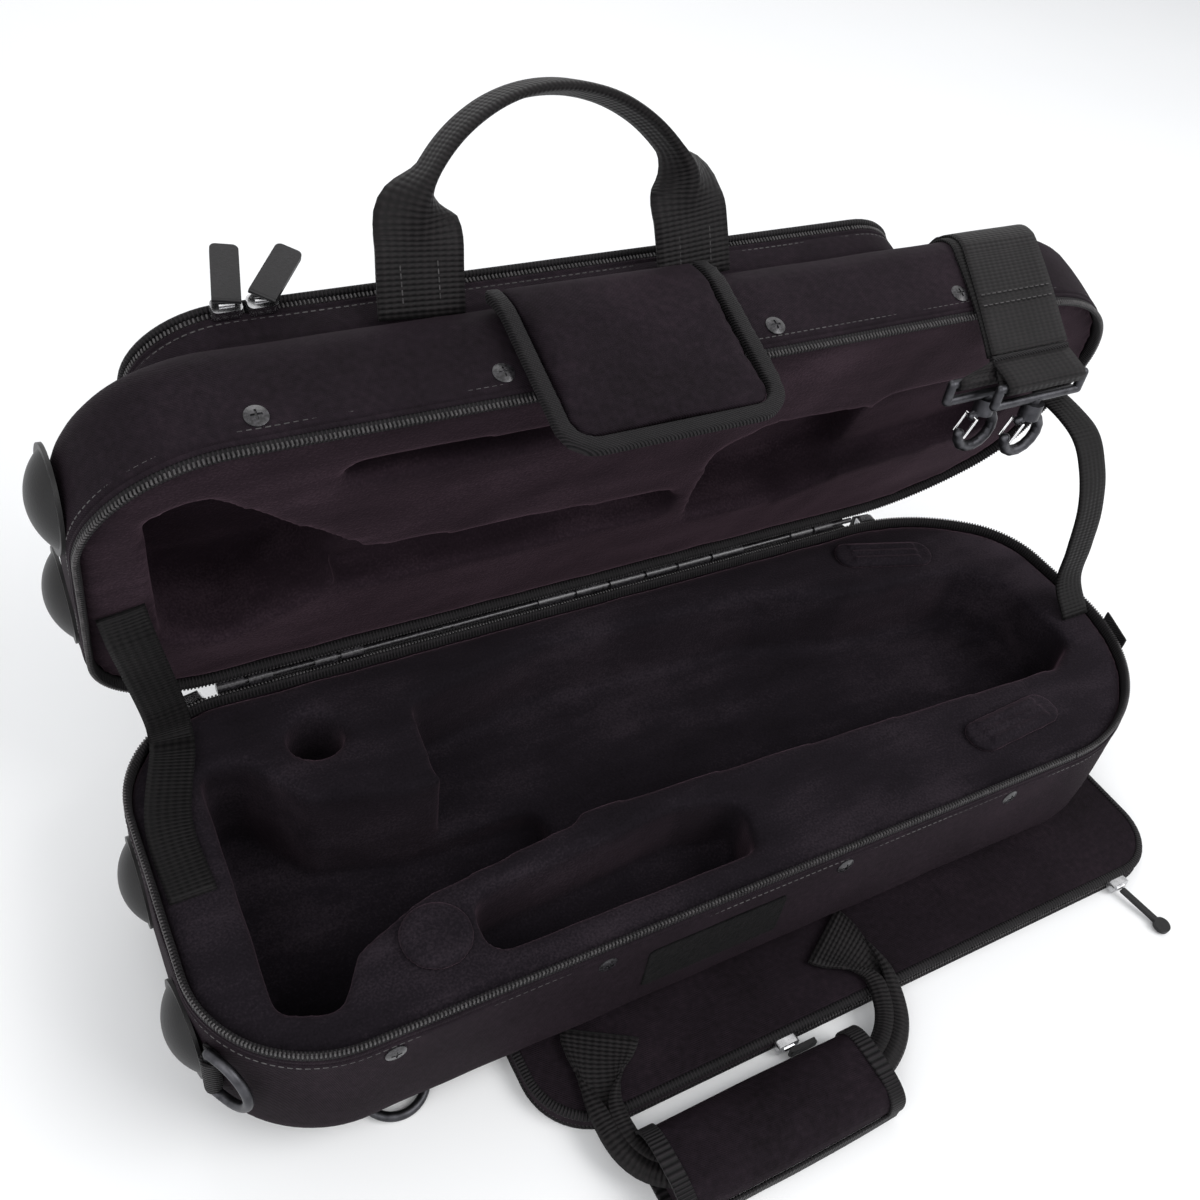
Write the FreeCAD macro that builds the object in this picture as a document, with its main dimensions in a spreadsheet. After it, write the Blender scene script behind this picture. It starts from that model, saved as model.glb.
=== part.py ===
import FreeCAD, Part
import Sketcher
import math
import os

# Trumpet case: a contoured soft shell tray and lid, hinged along the back and shown open.
# Frame: +X runs along the case, away from the bell end. +Y runs from the front to the hinge. +Z is up.
# Origin: under the middle of the case, on the plane that it rests on.

doc = FreeCAD.newDocument("trumpet_case")
sheet = doc.addObject("Spreadsheet::Sheet", "sizes")

SIZES = [
    # Outline of the case, at the rim
    ("case_length", 545.0), ("case_width", 200.0),
    ("front_left_radius", 60.0), ("back_left_radius", 56.0), ("front_right_radius", 98.0),
    ("nose_radius", 50.0), ("nose_height", 34.0), ("hinge_run_end", 175.5),
    # Shells, insert and lining
    ("tray_depth", 76.0), ("lid_depth", 56.0), ("tray_edge_radius", 20.0), ("lid_edge_radius", 22.0),
    ("shell_wall", 2.5), ("layer_gap", 0.3), ("rim_gap", 1.4), ("lining_thickness", 1.2),
    ("cavity_corner_radius", 9.0), ("bell_depth", 64.0), ("body_depth", 46.0), ("tray_small_depth", 38.0),
    ("lid_bell_depth", 44.0), ("lid_body_depth", 34.0), ("groove_depth", 16.0),
    ("mouthpiece_radius", 14.0), ("mouthpiece_x", -181.0), ("mouthpiece_y", 62.0),
    ("dome_radius", 16.0), ("dome_height", 5.0), ("dome_x", -171.0), ("dome_y", -64.0),
    ("pad_length", 62.0), ("pad_width", 20.0), ("pad_height", 3.4), ("pad_rib", 1.6),
    ("front_pad_x", 158.0), ("front_pad_y", -67.0), ("back_pad_x", 178.0), ("back_pad_y", 71.0),
    # Closing zip
    ("zip_height", 4.0), ("zip_width", 3.5), ("slider_length", 12.0), ("slider_width", 7.0),
    ("slider_depth", 4.5), ("pull_thickness", 2.4), ("pull_length", 27.0), ("pull_width", 11.0),
    ("short_pull_length", 14.0), ("short_pull_width", 5.0),
    ("cord_pull_length", 30.0), ("cord_pull_width", 3.0),
    ("cord_pull_drop_width", 9.0), ("cord_pull_droop", 5.0),
    ("accessory_lean_left", 14.0), ("accessory_lean_right", 40.0),
    # Hinge
    ("hinge_offset", 3.0), ("rod_radius", 1.5), ("sleeve_radius", 2.7), ("running_gap", 0.06),
    ("hinge_start", -216.5), ("leaf_thickness", 1.0), ("leaf_height", 13.0), ("open_angle", 69.0),
    # Bumpers and screws
    ("flange_radius", 21.5), ("flange_thickness", 1.6), ("bumper_radius", 19.0), ("bumper_height", 9.5),
    ("bumper_drop", 34.0), ("lid_bumper_rise", 30.0), ("back_bumper_y", 32.0), ("front_bumper_angle", 5.0),
    ("screw_head_radius", 4.6), ("screw_head_height", 1.6), ("screw_rim_height", 0.7),
    ("screw_drop", 14.0), ("screw_slot", 0.9), ("screw_slot_depth", 0.7),
    ("screw_outer_left", -203.0), ("screw_inner_left", -106.0),
    ("screw_inner_right", 24.0), ("screw_outer_right", 131.0),
    # Closure flap and its patches
    ("flap_width", 106.0), ("flap_x", -46.5), ("flap_thickness", 5.0), ("flap_reach", 33.0),
    ("flap_corner", 16.0), ("binding_width", 7.0), ("binding_proud", 0.6), ("flap_root_angle", 40.0),
    ("patch_width", 76.0), ("patch_height", 29.0), ("patch_thickness", 1.2), ("patch_drop", 18.0),
    ("patch_corner", 3.0), ("hook_patch_height", 24.0), ("hook_patch_margin", 2.5),
    # Webbing and handles
    ("webbing_thickness", 2.4), ("handle_width", 37.0), ("handle_neck", 24.0),
    ("top_handle_x", -56.0), ("top_handle_span", 131.0), ("top_handle_base_y", -86.0),
    ("top_handle_neck_height", 45.0), ("top_handle_rise", 38.0), ("top_handle_tilt", 47.0),
    ("arch_width", 18.0), ("arch_thickness", 6.0), ("knuckle_radius", 1.5),
    ("bottom_handle_x", -37.5), ("bottom_handle_span", 130.0), ("bottom_handle_base_y", -102.0),
    ("bottom_handle_z", 12.3), ("bottom_neck_y", -131.0), ("bottom_neck_spread", 13.5),
    ("grip_x", -51.0), ("grip_y", -171.0), ("grip_length", 112.0), ("grip_width", 40.0),
    ("grip_height", 22.0), ("roll_width", 16.0), ("roll_thickness", 4.4), ("roll_bend", 12.0),
    # Accessory pocket on the lid
    ("accessory_left", -235.5), ("accessory_right", 153.0), ("accessory_front", -82.0),
    ("accessory_back", 84.0), ("accessory_corner", 40.0), ("accessory_rise", 17.0),
    ("pocket_wall", 2.0), ("accessory_zip_height", 3.0), ("accessory_panel_thickness", 3.0),
    ("welt_radius", 1.5), ("welt_offset", 1.2),
    ("accessory_slider_spacing", 14.0),
    # Music pocket under the tray
    ("music_left", -142.5), ("music_right", 247.5), ("music_front", -138.0), ("music_back", 90.0),
    ("music_corner", 32.0), ("panel_thickness", 2.0), ("pouch_room", 6.0), ("music_zip_height", 0.8),
    ("music_zip_width", 5.0), ("mouth_left", -20.0), ("mouth_right", 208.0),
    # Rings
    ("ring_wire", 2.2), ("ring_width", 30.0), ("ring_reach", 20.0), ("tab_width", 24.0),
    ("tab_length", 20.0), ("short_tab_length", 6.5), ("ring_left_angle", 28.5), ("ring_left_drop", 29.0),
    ("ring_right_angle", 20.0), ("ring_right_drop", 16.0), ("ring_under_x", -196.0),
    ("ring_under_droop", 10.0),
    # Stay straps
    ("stay_width", 20.0), ("stay_thickness", 1.6), ("stay_inset", 2.5),
    # Shoulder strap and its snap hooks
    ("strap_width", 48.0), ("strap_thickness", 3.0), ("strap_top_x", 178.0), ("strap_end_x", 146.0),
    ("strap_reach", 26.0), ("strap_back_y", 66.0), ("buckle_wire", 2.2), ("buckle_height", 9.0),
    ("buckle_drop", 7.5), ("buckle_forward", 2.5), ("buckle_spacing", 10.5), ("buckle_shift", 20.0),
    ("swivel_radius", 5.0), ("swivel_length", 6.0),
    ("hook_radius", 10.0), ("hook_wire", 2.6), ("hook_neck", 2.0), ("gate_wire", 0.7),
    ("overrun", 5.0),
]

for row, (alias, number) in enumerate(SIZES, start=1):
    sheet.set("A%d" % row, alias.replace("_", " "))
    sheet.set("B%d" % row, str(number))
    sheet.setAlias("B%d" % row, alias)
doc.recompute()


class Size:
    """A length with the sheet expression that gives it and its present value."""

    def __init__(self, text, value):
        self.text = text
        self.value = value

    def joined(self, other, sign, value):
        text = other.text if isinstance(other, Size) else repr(other)
        return Size("(%s %s %s)" % (self.text, sign, text), value)

    def __add__(self, other):
        return self.joined(other, "+", self.value + float(other))

    def __sub__(self, other):
        return self.joined(other, "-", self.value - float(other))

    def __mul__(self, other):
        return self.joined(other, "*", self.value * float(other))

    def __truediv__(self, other):
        return self.joined(other, "/", self.value / float(other))

    def __neg__(self):
        return Size("(0 - %s)" % self.text, -self.value)

    def __float__(self):
        return self.value


def cell(alias):
    return Size("sizes.%s" % alias, float(sheet.get(alias)))


def bind(item, prop, length):
    item.setExpression(prop, length.text)


ZERO = Size("0", 0.0)
GAP = cell("layer_gap")
HALF_LENGTH = cell("case_length") / 2
HALF_WIDTH = cell("case_width") / 2
TRAY_FLOOR = cell("panel_thickness") * 2 + cell("pouch_room") + GAP
TRAY_RIM = TRAY_FLOOR + cell("tray_depth")
LID_RIM = TRAY_RIM + cell("rim_gap")
LID_TOP = LID_RIM + cell("lid_depth")
HINGE_Y = HALF_WIDTH + cell("hinge_offset")
HINGE_Z = TRAY_RIM + cell("rim_gap") / 2
TRAY_FACE = TRAY_RIM - cell("zip_height")
LID_FACE = LID_RIM + cell("zip_height")
WALL_FRONT = -HALF_WIDTH

# The haunch is the long arc between the hinge run and the nose, tangent to both.
NOSE_RUN = HALF_LENGTH - cell("hinge_run_end") - cell("nose_radius")
NOSE_FALL = HALF_WIDTH - cell("nose_height")
HAUNCH = (NOSE_RUN * NOSE_RUN + NOSE_FALL * NOSE_FALL - cell("nose_radius") * cell("nose_radius")) \
    / ((NOSE_FALL - cell("nose_radius")) * 2)

# How far a rounded corner may reach along its run
RUN_SHARE = 0.45

X_AXIS = FreeCAD.Vector(1, 0, 0)
Y_AXIS = FreeCAD.Vector(0, 1, 0)
Z_AXIS = FreeCAD.Vector(0, 0, 1)
nodes = []


def vector(x, y, z=0):
    return FreeCAD.Vector(float(x), float(y), float(z))


def turned(axis, degrees, centre=None):
    return FreeCAD.Placement(FreeCAD.Vector(), FreeCAD.Rotation(axis, degrees), centre or FreeCAD.Vector())


def moved(x, y, z):
    return FreeCAD.Placement(vector(x, y, z), FreeCAD.Rotation())


AT_REST = FreeCAD.Placement()
LID_OPEN = turned(X_AXIS, -float(cell("open_angle")), vector(ZERO, HINGE_Y, HINGE_Z))


def keep(item, placement=AT_REST):
    """Record a finished sub-part, with its place."""
    item.Placement = placement
    nodes.append(item)
    return item


def solid_node(name, shape, placement=AT_REST):
    """A sub-part whose form is lofted, swept or cut in code from the sheet's sizes."""
    item = doc.addObject("Part::Feature", name)
    item.Label = name
    item.Shape = shape
    return keep(item, placement)


# Sketches

def new_body(name):
    item = doc.addObject("PartDesign::Body", name)
    item.Label = name
    return item


def new_sketch(owner, role, offset=ZERO):
    plane = [item for item in owner.Origin.OriginFeatures if item.Role == role][0]
    sketch = owner.newObject("Sketcher::SketchObject", owner.Name + "_sketch")
    sketch.AttachmentSupport = [(plane, "")]
    sketch.MapMode = "FlatFace"
    bind(sketch, "AttachmentOffset.Base.z", offset)
    return sketch


def dimension(sketch, kind, length, *places):
    index = sketch.addConstraint(Sketcher.Constraint(kind, *places, float(length)))
    sketch.setExpression("Constraints[%d]" % index, length.text)


def locate(sketch, geometry, point, x=None, y=None):
    if x is not None:
        dimension(sketch, "DistanceX", x, -1, 1, geometry, point)
    if y is not None:
        dimension(sketch, "DistanceY", y, -1, 1, geometry, point)


def line(x1, y1, x2, y2):
    return Part.LineSegment(vector(x1, y1), vector(x2, y2))


def arc(x, y, radius, start, end):
    circle = Part.Circle(vector(x, y), Z_AXIS, float(radius))
    return Part.ArcOfCircle(circle, math.radians(start), math.radians(end))


def close_loop(sketch, pieces, kind):
    first = sketch.GeometryCount
    sketch.addGeometry(pieces, False)
    for index in range(len(pieces)):
        following = first + (index + 1) % len(pieces)
        sketch.addConstraint(Sketcher.Constraint(kind, first + index, 2, following, 1))
    return first


def draw_outline(sketch, inset):
    """The case's plan, moved inwards by inset."""
    front = WALL_FRONT + inset
    back = HALF_WIDTH - inset
    left = inset - HALF_LENGTH
    right = HALF_LENGTH - inset
    nose, haunch = cell("nose_radius"), HAUNCH
    front_left, back_left = cell("front_left_radius"), cell("back_left_radius")
    front_right, run_end = cell("front_right_radius"), cell("hinge_run_end")
    nose_x = HALF_LENGTH - nose
    haunch_y = HALF_WIDTH - haunch
    turn = math.degrees(math.atan2(float(cell("nose_height") - haunch_y), float(nose_x - run_end)))
    first = close_loop(sketch, [
        line(front_left - HALF_LENGTH, front, HALF_LENGTH - front_right, front),
        arc(HALF_LENGTH - front_right, front_right - HALF_WIDTH, front_right - inset, 270, 360),
        line(right, front_right - HALF_WIDTH, right, cell("nose_height")),
        arc(nose_x, cell("nose_height"), nose - inset, 0, turn),
        arc(run_end, haunch_y, haunch - inset, turn, 90),
        line(run_end, back, back_left - HALF_LENGTH, back),
        arc(back_left - HALF_LENGTH, HALF_WIDTH - back_left, back_left - inset, 90, 180),
        line(left, HALF_WIDTH - back_left, left, front_left - HALF_WIDTH),
        arc(front_left - HALF_LENGTH, front_left - HALF_WIDTH, front_left - inset, 180, 270),
    ], "Tangent")
    for offset, direction in ((0, "Horizontal"), (2, "Vertical"), (5, "Horizontal"), (7, "Vertical")):
        sketch.addConstraint(Sketcher.Constraint(direction, first + offset))
    for offset, radius in ((1, front_right), (3, nose), (4, haunch), (6, back_left), (8, front_left)):
        dimension(sketch, "Radius", radius - inset, first + offset)
    locate(sketch, first, 1, y=front)
    locate(sketch, first + 2, 1, x=right)
    locate(sketch, first + 5, 1, x=run_end, y=back)
    locate(sketch, first + 7, 1, x=left)


def draw_rectangle(sketch, left, front, right, back):
    first = close_loop(sketch, [line(left, front, right, front), line(right, front, right, back),
                                line(right, back, left, back), line(left, back, left, front)],
                       "Coincident")
    for offset, direction in ((0, "Horizontal"), (1, "Vertical"), (2, "Horizontal"), (3, "Vertical")):
        sketch.addConstraint(Sketcher.Constraint(direction, first + offset))
    locate(sketch, first, 1, x=left, y=front)
    locate(sketch, first + 2, 1, x=right, y=back)


def draw_rounded(sketch, left, front, right, back, radius):
    first = close_loop(sketch, [
        line(left + radius, front, right - radius, front),
        arc(right - radius, front + radius, radius, 270, 360),
        line(right, front + radius, right, back - radius),
        arc(right - radius, back - radius, radius, 0, 90),
        line(right - radius, back, left + radius, back),
        arc(left + radius, back - radius, radius, 90, 180),
        line(left, back - radius, left, front + radius),
        arc(left + radius, front + radius, radius, 180, 270),
    ], "Tangent")
    for offset, direction in ((0, "Horizontal"), (2, "Vertical"), (4, "Horizontal"), (6, "Vertical")):
        sketch.addConstraint(Sketcher.Constraint(direction, first + offset))
    for offset in (1, 3, 5, 7):
        dimension(sketch, "Radius", radius, first + offset)
    locate(sketch, first, 1, y=front)
    locate(sketch, first + 2, 1, x=right)
    locate(sketch, first + 4, 1, y=back)
    locate(sketch, first + 6, 1, x=left)


def padded(owner, sketch, length, midplane=False):
    pad = owner.newObject("PartDesign::Pad", owner.Name + "_pad")
    pad.Profile = sketch
    pad.Midplane = midplane
    bind(pad, "Length", length)
    doc.recompute()
    return pad


def pocketed(owner, sketch):
    """A cut right through the body, both ways from the sketch."""
    before = owner.Tip.Shape.Volume
    pocket = owner.newObject("PartDesign::Pocket", owner.Name + "_pocket")
    pocket.Profile = sketch
    pocket.Type = 1
    pocket.Midplane = True
    doc.recompute()
    assert pocket.Shape.Volume < before, owner.Label + ": the pocket cuts nothing"
    return pocket


def edges_where(feature, test):
    return ["Edge%d" % (index + 1) for index, edge in enumerate(feature.Shape.Edges) if test(edge)]


def at_height(z):
    def test(edge):
        box = edge.BoundBox
        return abs(box.ZMin - float(z)) < 1e-4 and abs(box.ZMax - float(z)) < 1e-4
    return test


def filleted(owner, feature, names, radius):
    fillet = owner.newObject("PartDesign::Fillet", owner.Name + "_fillet")
    fillet.Base = (feature, names)
    bind(fillet, "Radius", radius)
    doc.recompute()
    return fillet


# Shells

def case_shell(name, bottom, height, edge_z, open_z, edge_radius, placement):
    """A half shell: padded from the plan, rounded along its closed face and hollowed from its open one."""
    owner = new_body(name)
    sketch = new_sketch(owner, "XY_Plane", bottom)
    draw_outline(sketch, ZERO)
    pad = padded(owner, sketch, height)
    rounded = filleted(owner, pad, edges_where(pad, at_height(edge_z)), edge_radius)
    open_face = [index for index, face in enumerate(rounded.Shape.Faces, start=1)
                 if abs(face.BoundBox.ZMin - float(open_z)) < 1e-4 and face.BoundBox.ZLength < 1e-4]
    hollow = owner.newObject("PartDesign::Thickness", name + "_hollow")
    hollow.Base = (rounded, ["Face%d" % open_face[0]])
    hollow.Join = 1
    hollow.Reversed = True
    bind(hollow, "Value", cell("shell_wall"))
    doc.recompute()
    return keep(owner, placement)


case_shell("tray_shell", TRAY_FLOOR, TRAY_FACE - TRAY_FLOOR, TRAY_FLOOR, TRAY_FACE,
           cell("tray_edge_radius"), AT_REST)
case_shell("lid_shell", LID_FACE, LID_TOP - LID_FACE, LID_TOP, LID_FACE, cell("lid_edge_radius"), LID_OPEN)


def zip_half(name, bottom, placement):
    """Half of the closing zip: a band round the rim, left out along the hinge."""
    owner = new_body(name)
    sketch = new_sketch(owner, "XY_Plane", bottom)
    draw_outline(sketch, ZERO)
    draw_outline(sketch, cell("zip_width"))
    padded(owner, sketch, cell("zip_height"))
    gap = new_sketch(owner, "XY_Plane", bottom)
    draw_rectangle(gap, cell("hinge_start"), HALF_WIDTH - cell("zip_width") - cell("overrun"),
                   cell("hinge_run_end"), HALF_WIDTH + cell("overrun"))
    pocketed(owner, gap)
    return keep(owner, placement)


zip_half("tray_zip", TRAY_FACE, AT_REST)
zip_half("lid_zip", LID_RIM, LID_OPEN)


# Insert and lining, with the cavities that hold the instrument and its accessories

def rounded_face(points, radius):
    """A plane face on a polygon whose corners are arcs, as wide as their runs allow."""
    edges = []
    count = len(points)
    joints = []
    for index in range(count):
        before, here, after = points[index - 1], points[index], points[(index + 1) % count]
        back, ahead = (before - here), (after - here)
        half = back.getAngle(ahead) / 2
        reach = min(radius / math.tan(half), back.Length * RUN_SHARE, ahead.Length * RUN_SHARE)
        start = here + back.normalize() * reach
        end = here + ahead.normalize() * reach
        bisector = (back + ahead).normalize()
        spread = reach * math.tan(half)
        middle = here + bisector * (reach / math.cos(half) - spread)
        joints.append((start, middle, end))
    for index in range(count):
        start, middle, end = joints[index]
        edges.append(Part.Arc(start, middle, end).toShape())
        following = joints[(index + 1) % count][0]
        if (following - end).Length > 1e-6:
            edges.append(Part.makeLine(end, following))
    return Part.Face(Part.Wire(edges))


def plan_points(shares):
    """Points from shares of the case's half length and half width."""
    return [vector(HALF_LENGTH * x_share, HALF_WIDTH * y_share) for x_share, y_share in shares]


TRAY_BELL_SHARES = [(-0.885, -0.70), (-0.80, -0.79), (-0.775, -0.70), (-0.745, -0.56), (-0.62, -0.42),
                    (-0.30, -0.31), (-0.30, 0.12), (-0.55, 0.14), (-0.72, 0.26), (-0.80, 0.60),
                    (-0.87, 0.62)]
TRAY_BODY_SHARES = [(-0.42, -0.26), (0.80, -0.42), (0.875, -0.30), (0.885, 0.20), (0.80, 0.45),
                    (0.50, 0.52), (0.30, 0.70), (-0.20, 0.78), (-0.48, 0.66), (-0.50, 0.20)]
TRAY_TOOLS_SHARES = [(-0.56, -0.80), (-0.06, -0.80), (-0.02, -0.52), (-0.14, -0.44), (-0.55, -0.52)]
LID_BELL_SHARES = [(-0.90, -0.58), (-0.82, -0.66), (-0.78, -0.56), (-0.56, 0.0), (-0.62, 0.34),
                   (-0.78, 0.60), (-0.88, 0.46)]
LID_TUBE_SHARES = [(-0.60, 0.02), (0.06, 0.16), (0.06, 0.40), (-0.60, 0.36)]
LID_VALVE_SHARES = [(0.10, -0.14), (0.20, -0.30), (0.42, -0.26), (0.50, -0.06), (0.50, 0.40),
                    (0.36, 0.56), (0.12, 0.50)]
LID_NOSE_SHARES = [(0.44, -0.34), (0.84, -0.34), (0.88, -0.10), (0.84, 0.30), (0.46, 0.42)]
LID_GROOVE_SHARES = [(-0.62, -0.70), (-0.20, -0.68), (-0.20, -0.56), (-0.62, -0.58)]


def cavity(points, depth, top, down, grow):
    face = rounded_face(points, float(cell("cavity_corner_radius")))
    if grow:
        face = face.makeOffset2D(grow)
    height = float(depth) + grow
    solid = face.extrude(FreeCAD.Vector(0, 0, -height if down else height))
    solid.translate(vector(ZERO, ZERO, top))
    return solid


def round_cavity(x, y, radius, depth, top, down, grow):
    height = float(depth) + grow
    axis = -Z_AXIS if down else Z_AXIS
    return Part.makeCylinder(float(radius) + grow, height, vector(x, y, top), axis)


def tray_cavities(grow):
    return [cavity(plan_points(TRAY_BELL_SHARES), cell("bell_depth"), TRAY_FACE, True, grow),
            cavity(plan_points(TRAY_BODY_SHARES), cell("body_depth"), TRAY_FACE, True, grow),
            cavity(plan_points(TRAY_TOOLS_SHARES), cell("tray_small_depth"), TRAY_FACE, True, grow),
            round_cavity(cell("mouthpiece_x"), cell("mouthpiece_y"), cell("mouthpiece_radius"),
                         cell("tray_small_depth"), TRAY_FACE, True, grow)]


def lid_cavities(grow):
    return [cavity(plan_points(LID_BELL_SHARES), cell("lid_bell_depth"), LID_FACE, False, grow),
            cavity(plan_points(LID_TUBE_SHARES), cell("groove_depth"), LID_FACE, False, grow),
            cavity(plan_points(LID_VALVE_SHARES), cell("lid_body_depth"), LID_FACE, False, grow),
            cavity(plan_points(LID_NOSE_SHARES), cell("groove_depth"), LID_FACE, False, grow),
            cavity(plan_points(LID_GROOVE_SHARES), cell("groove_depth"), LID_FACE, False, grow)]


def outline_face(inset):
    """The case's plan as a plane face, for the pieces that are cut in code."""
    inset = float(inset)
    pieces = []
    nose, haunch = float(cell("nose_radius")), float(HAUNCH)
    half_length, half_width = float(HALF_LENGTH), float(HALF_WIDTH)
    run_end, nose_y = float(cell("hinge_run_end")), float(cell("nose_height"))
    turn = math.degrees(math.atan2(nose_y - half_width + haunch, half_length - nose - run_end))
    front_left, back_left = float(cell("front_left_radius")), float(cell("back_left_radius"))
    front_right = float(cell("front_right_radius"))
    corners = [(half_length - front_right, front_right - half_width, front_right, 270, 360),
               (half_length - nose, nose_y, nose, 0, turn),
               (run_end, half_width - haunch, haunch, turn, 90),
               (back_left - half_length, half_width - back_left, back_left, 90, 180),
               (front_left - half_length, front_left - half_width, front_left, 180, 270)]
    for x, y, radius, start, end in corners:
        pieces.append(arc(x, y, radius - inset, start, end).toShape())
    edges = []
    for index, edge in enumerate(pieces):
        edges.append(edge)
        here = edge.valueAt(edge.LastParameter)
        following = pieces[(index + 1) % len(pieces)]
        there = following.valueAt(following.FirstParameter)
        if (there - here).Length > 1e-6:
            edges.append(Part.makeLine(here, there))
    return Part.Face(Part.Wire(edges))


def slab(inset, bottom, top):
    solid = outline_face(inset).extrude(vector(ZERO, ZERO, top - bottom))
    solid.translate(vector(ZERO, ZERO, bottom))
    return solid


LINING_INSET = cell("shell_wall") + GAP


def lining_shape(sheet_bottom, sheet_top, cavities):
    cups = slab(LINING_INSET, sheet_bottom, sheet_top).fuse(cavities(float(cell("lining_thickness"))))
    return cups.cut(cavities(0.0)).removeSplitter()


def insert_shape(bottom, top, edge_z, edge_radius, cavities):
    block = slab(LINING_INSET, bottom, top)
    edges = [edge for edge in block.Edges if at_height(edge_z)(edge)]
    block = block.makeFillet(float(edge_radius), edges)
    return block.cut(cavities(float(cell("lining_thickness") + GAP))).removeSplitter()


SHEET = cell("lining_thickness")
solid_node("tray_lining", lining_shape(TRAY_FACE - SHEET, TRAY_FACE, tray_cavities))
solid_node("lid_lining", lining_shape(LID_FACE, LID_FACE + SHEET, lid_cavities), LID_OPEN)
solid_node("tray_foam", insert_shape(TRAY_FLOOR + LINING_INSET, TRAY_FACE - SHEET,
                                     TRAY_FLOOR + LINING_INSET,
                                     cell("tray_edge_radius") - LINING_INSET, tray_cavities))
solid_node("lid_foam", insert_shape(LID_FACE + SHEET, LID_TOP - LINING_INSET, LID_TOP - LINING_INSET,
                                    cell("lid_edge_radius") - LINING_INSET, lid_cavities), LID_OPEN)


DOME_ROUND_SHARE = 0.8


def foam_dome():
    """A soft button that stands on the lining beside the accessory cavity."""
    owner = new_body("foam_dome")
    sketch = new_sketch(owner, "XY_Plane", TRAY_FACE)
    circle = Part.Circle(vector(cell("dome_x"), cell("dome_y")), Z_AXIS, float(cell("dome_radius")))
    sketch.addGeometry(circle, False)
    dimension(sketch, "Radius", cell("dome_radius"), 0)
    locate(sketch, 0, 3, x=cell("dome_x"), y=cell("dome_y"))
    pad = padded(owner, sketch, cell("dome_height"))
    filleted(owner, pad, edges_where(pad, at_height(TRAY_FACE + cell("dome_height"))),
             cell("dome_height") * DOME_ROUND_SHARE)
    return keep(owner)


foam_dome()


def support_pad(name, x, y, degrees):
    """A pad with ribs along it, where the tubing rests."""
    length, width = float(cell("pad_length")), float(cell("pad_width"))
    base = Part.makeBox(length, width, float(cell("pad_height")), vector(-length / 2, -width / 2, 0))
    uprights = [edge for edge in base.Edges if edge.BoundBox.ZLength > 1e-4]
    shape = base.makeFillet(width * PAD_ROUND_SHARE, uprights)
    rib_radius = width * RIB_SHARE
    for share in RIB_PLACE_SHARES:
        rib_length = length - width
        rib_top = float(cell("pad_height") + cell("pad_rib"))
        centre = vector(-rib_length / 2, width * share, rib_top - rib_radius)
        shape = shape.fuse(Part.makeCylinder(rib_radius, rib_length, centre, X_AXIS))
    solid_node(name, shape.removeSplitter(), moved(x, y, TRAY_FACE) * turned(Z_AXIS, degrees))


PAD_ROUND_SHARE = 0.45
RIB_SHARE = 0.12
RIB_PLACE_SHARES = (-0.28, 0.0, 0.28)
FRONT_PAD_TURN = 4.0
BACK_PAD_TURN = -17.0
support_pad("support_pad_front", cell("front_pad_x"), cell("front_pad_y"), FRONT_PAD_TURN)
support_pad("support_pad_back", cell("back_pad_x"), cell("back_pad_y"), BACK_PAD_TURN)


# Hinge: a rod in fabric sleeves, some sewn to the tray and some to the lid

TRAY_SLEEVE_SHARES = ((0.04, 0.07), (0.125, 0.155), (0.445, 0.50), (0.56, 0.615), (0.675, 0.73), (0.88, 0.92))
LID_SLEEVE_SHARES = ((0.0, 0.035), (0.16, 0.19), (0.505, 0.555), (0.62, 0.67), (0.735, 0.79), (0.925, 0.96))
HINGE_LENGTH = cell("hinge_run_end") - cell("hinge_start")


def hinge_rod():
    rod = doc.addObject("Part::Cylinder", "hinge_rod")
    rod.Label = "hinge_rod"
    bind(rod, "Radius", cell("rod_radius"))
    bind(rod, "Height", HINGE_LENGTH)
    return keep(rod, FreeCAD.Placement(vector(cell("hinge_start"), HINGE_Y, HINGE_Z),
                                       FreeCAD.Rotation(Y_AXIS, 90)))


def hinge_sleeves(name, shares, side, placement):
    """Loops round the rod, each with a leaf sewn to the back wall below or above it."""
    solids = []
    radius = float(cell("sleeve_radius"))
    leaf_y = float(HALF_WIDTH + GAP)
    for start_share, end_share in shares:
        start = float(cell("hinge_start") + HINGE_LENGTH * start_share)
        length = float(HINGE_LENGTH) * (end_share - start_share)
        centre = vector(start, HINGE_Y, HINGE_Z)
        loop = Part.makeCylinder(radius, length, centre, X_AXIS)
        leaf_z = float(HINGE_Z) - (float(cell("leaf_height")) if side < 0 else 0)
        leaf = Part.makeBox(length, float(cell("leaf_thickness")), float(cell("leaf_height")),
                            FreeCAD.Vector(start, leaf_y, leaf_z))
        bore = Part.makeCylinder(float(cell("rod_radius") + cell("running_gap")), length, centre, X_AXIS)
        solids.append(loop.fuse(leaf).cut(bore).removeSplitter())
    solid_node(name, Part.makeCompound(solids), placement)


hinge_rod()
hinge_sleeves("tray_hinge_sleeves", TRAY_SLEEVE_SHARES, -1, AT_REST)
hinge_sleeves("lid_hinge_sleeves", LID_SLEEVE_SHARES, 1, LID_OPEN)


# Rubber bumpers at the bell end

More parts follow.
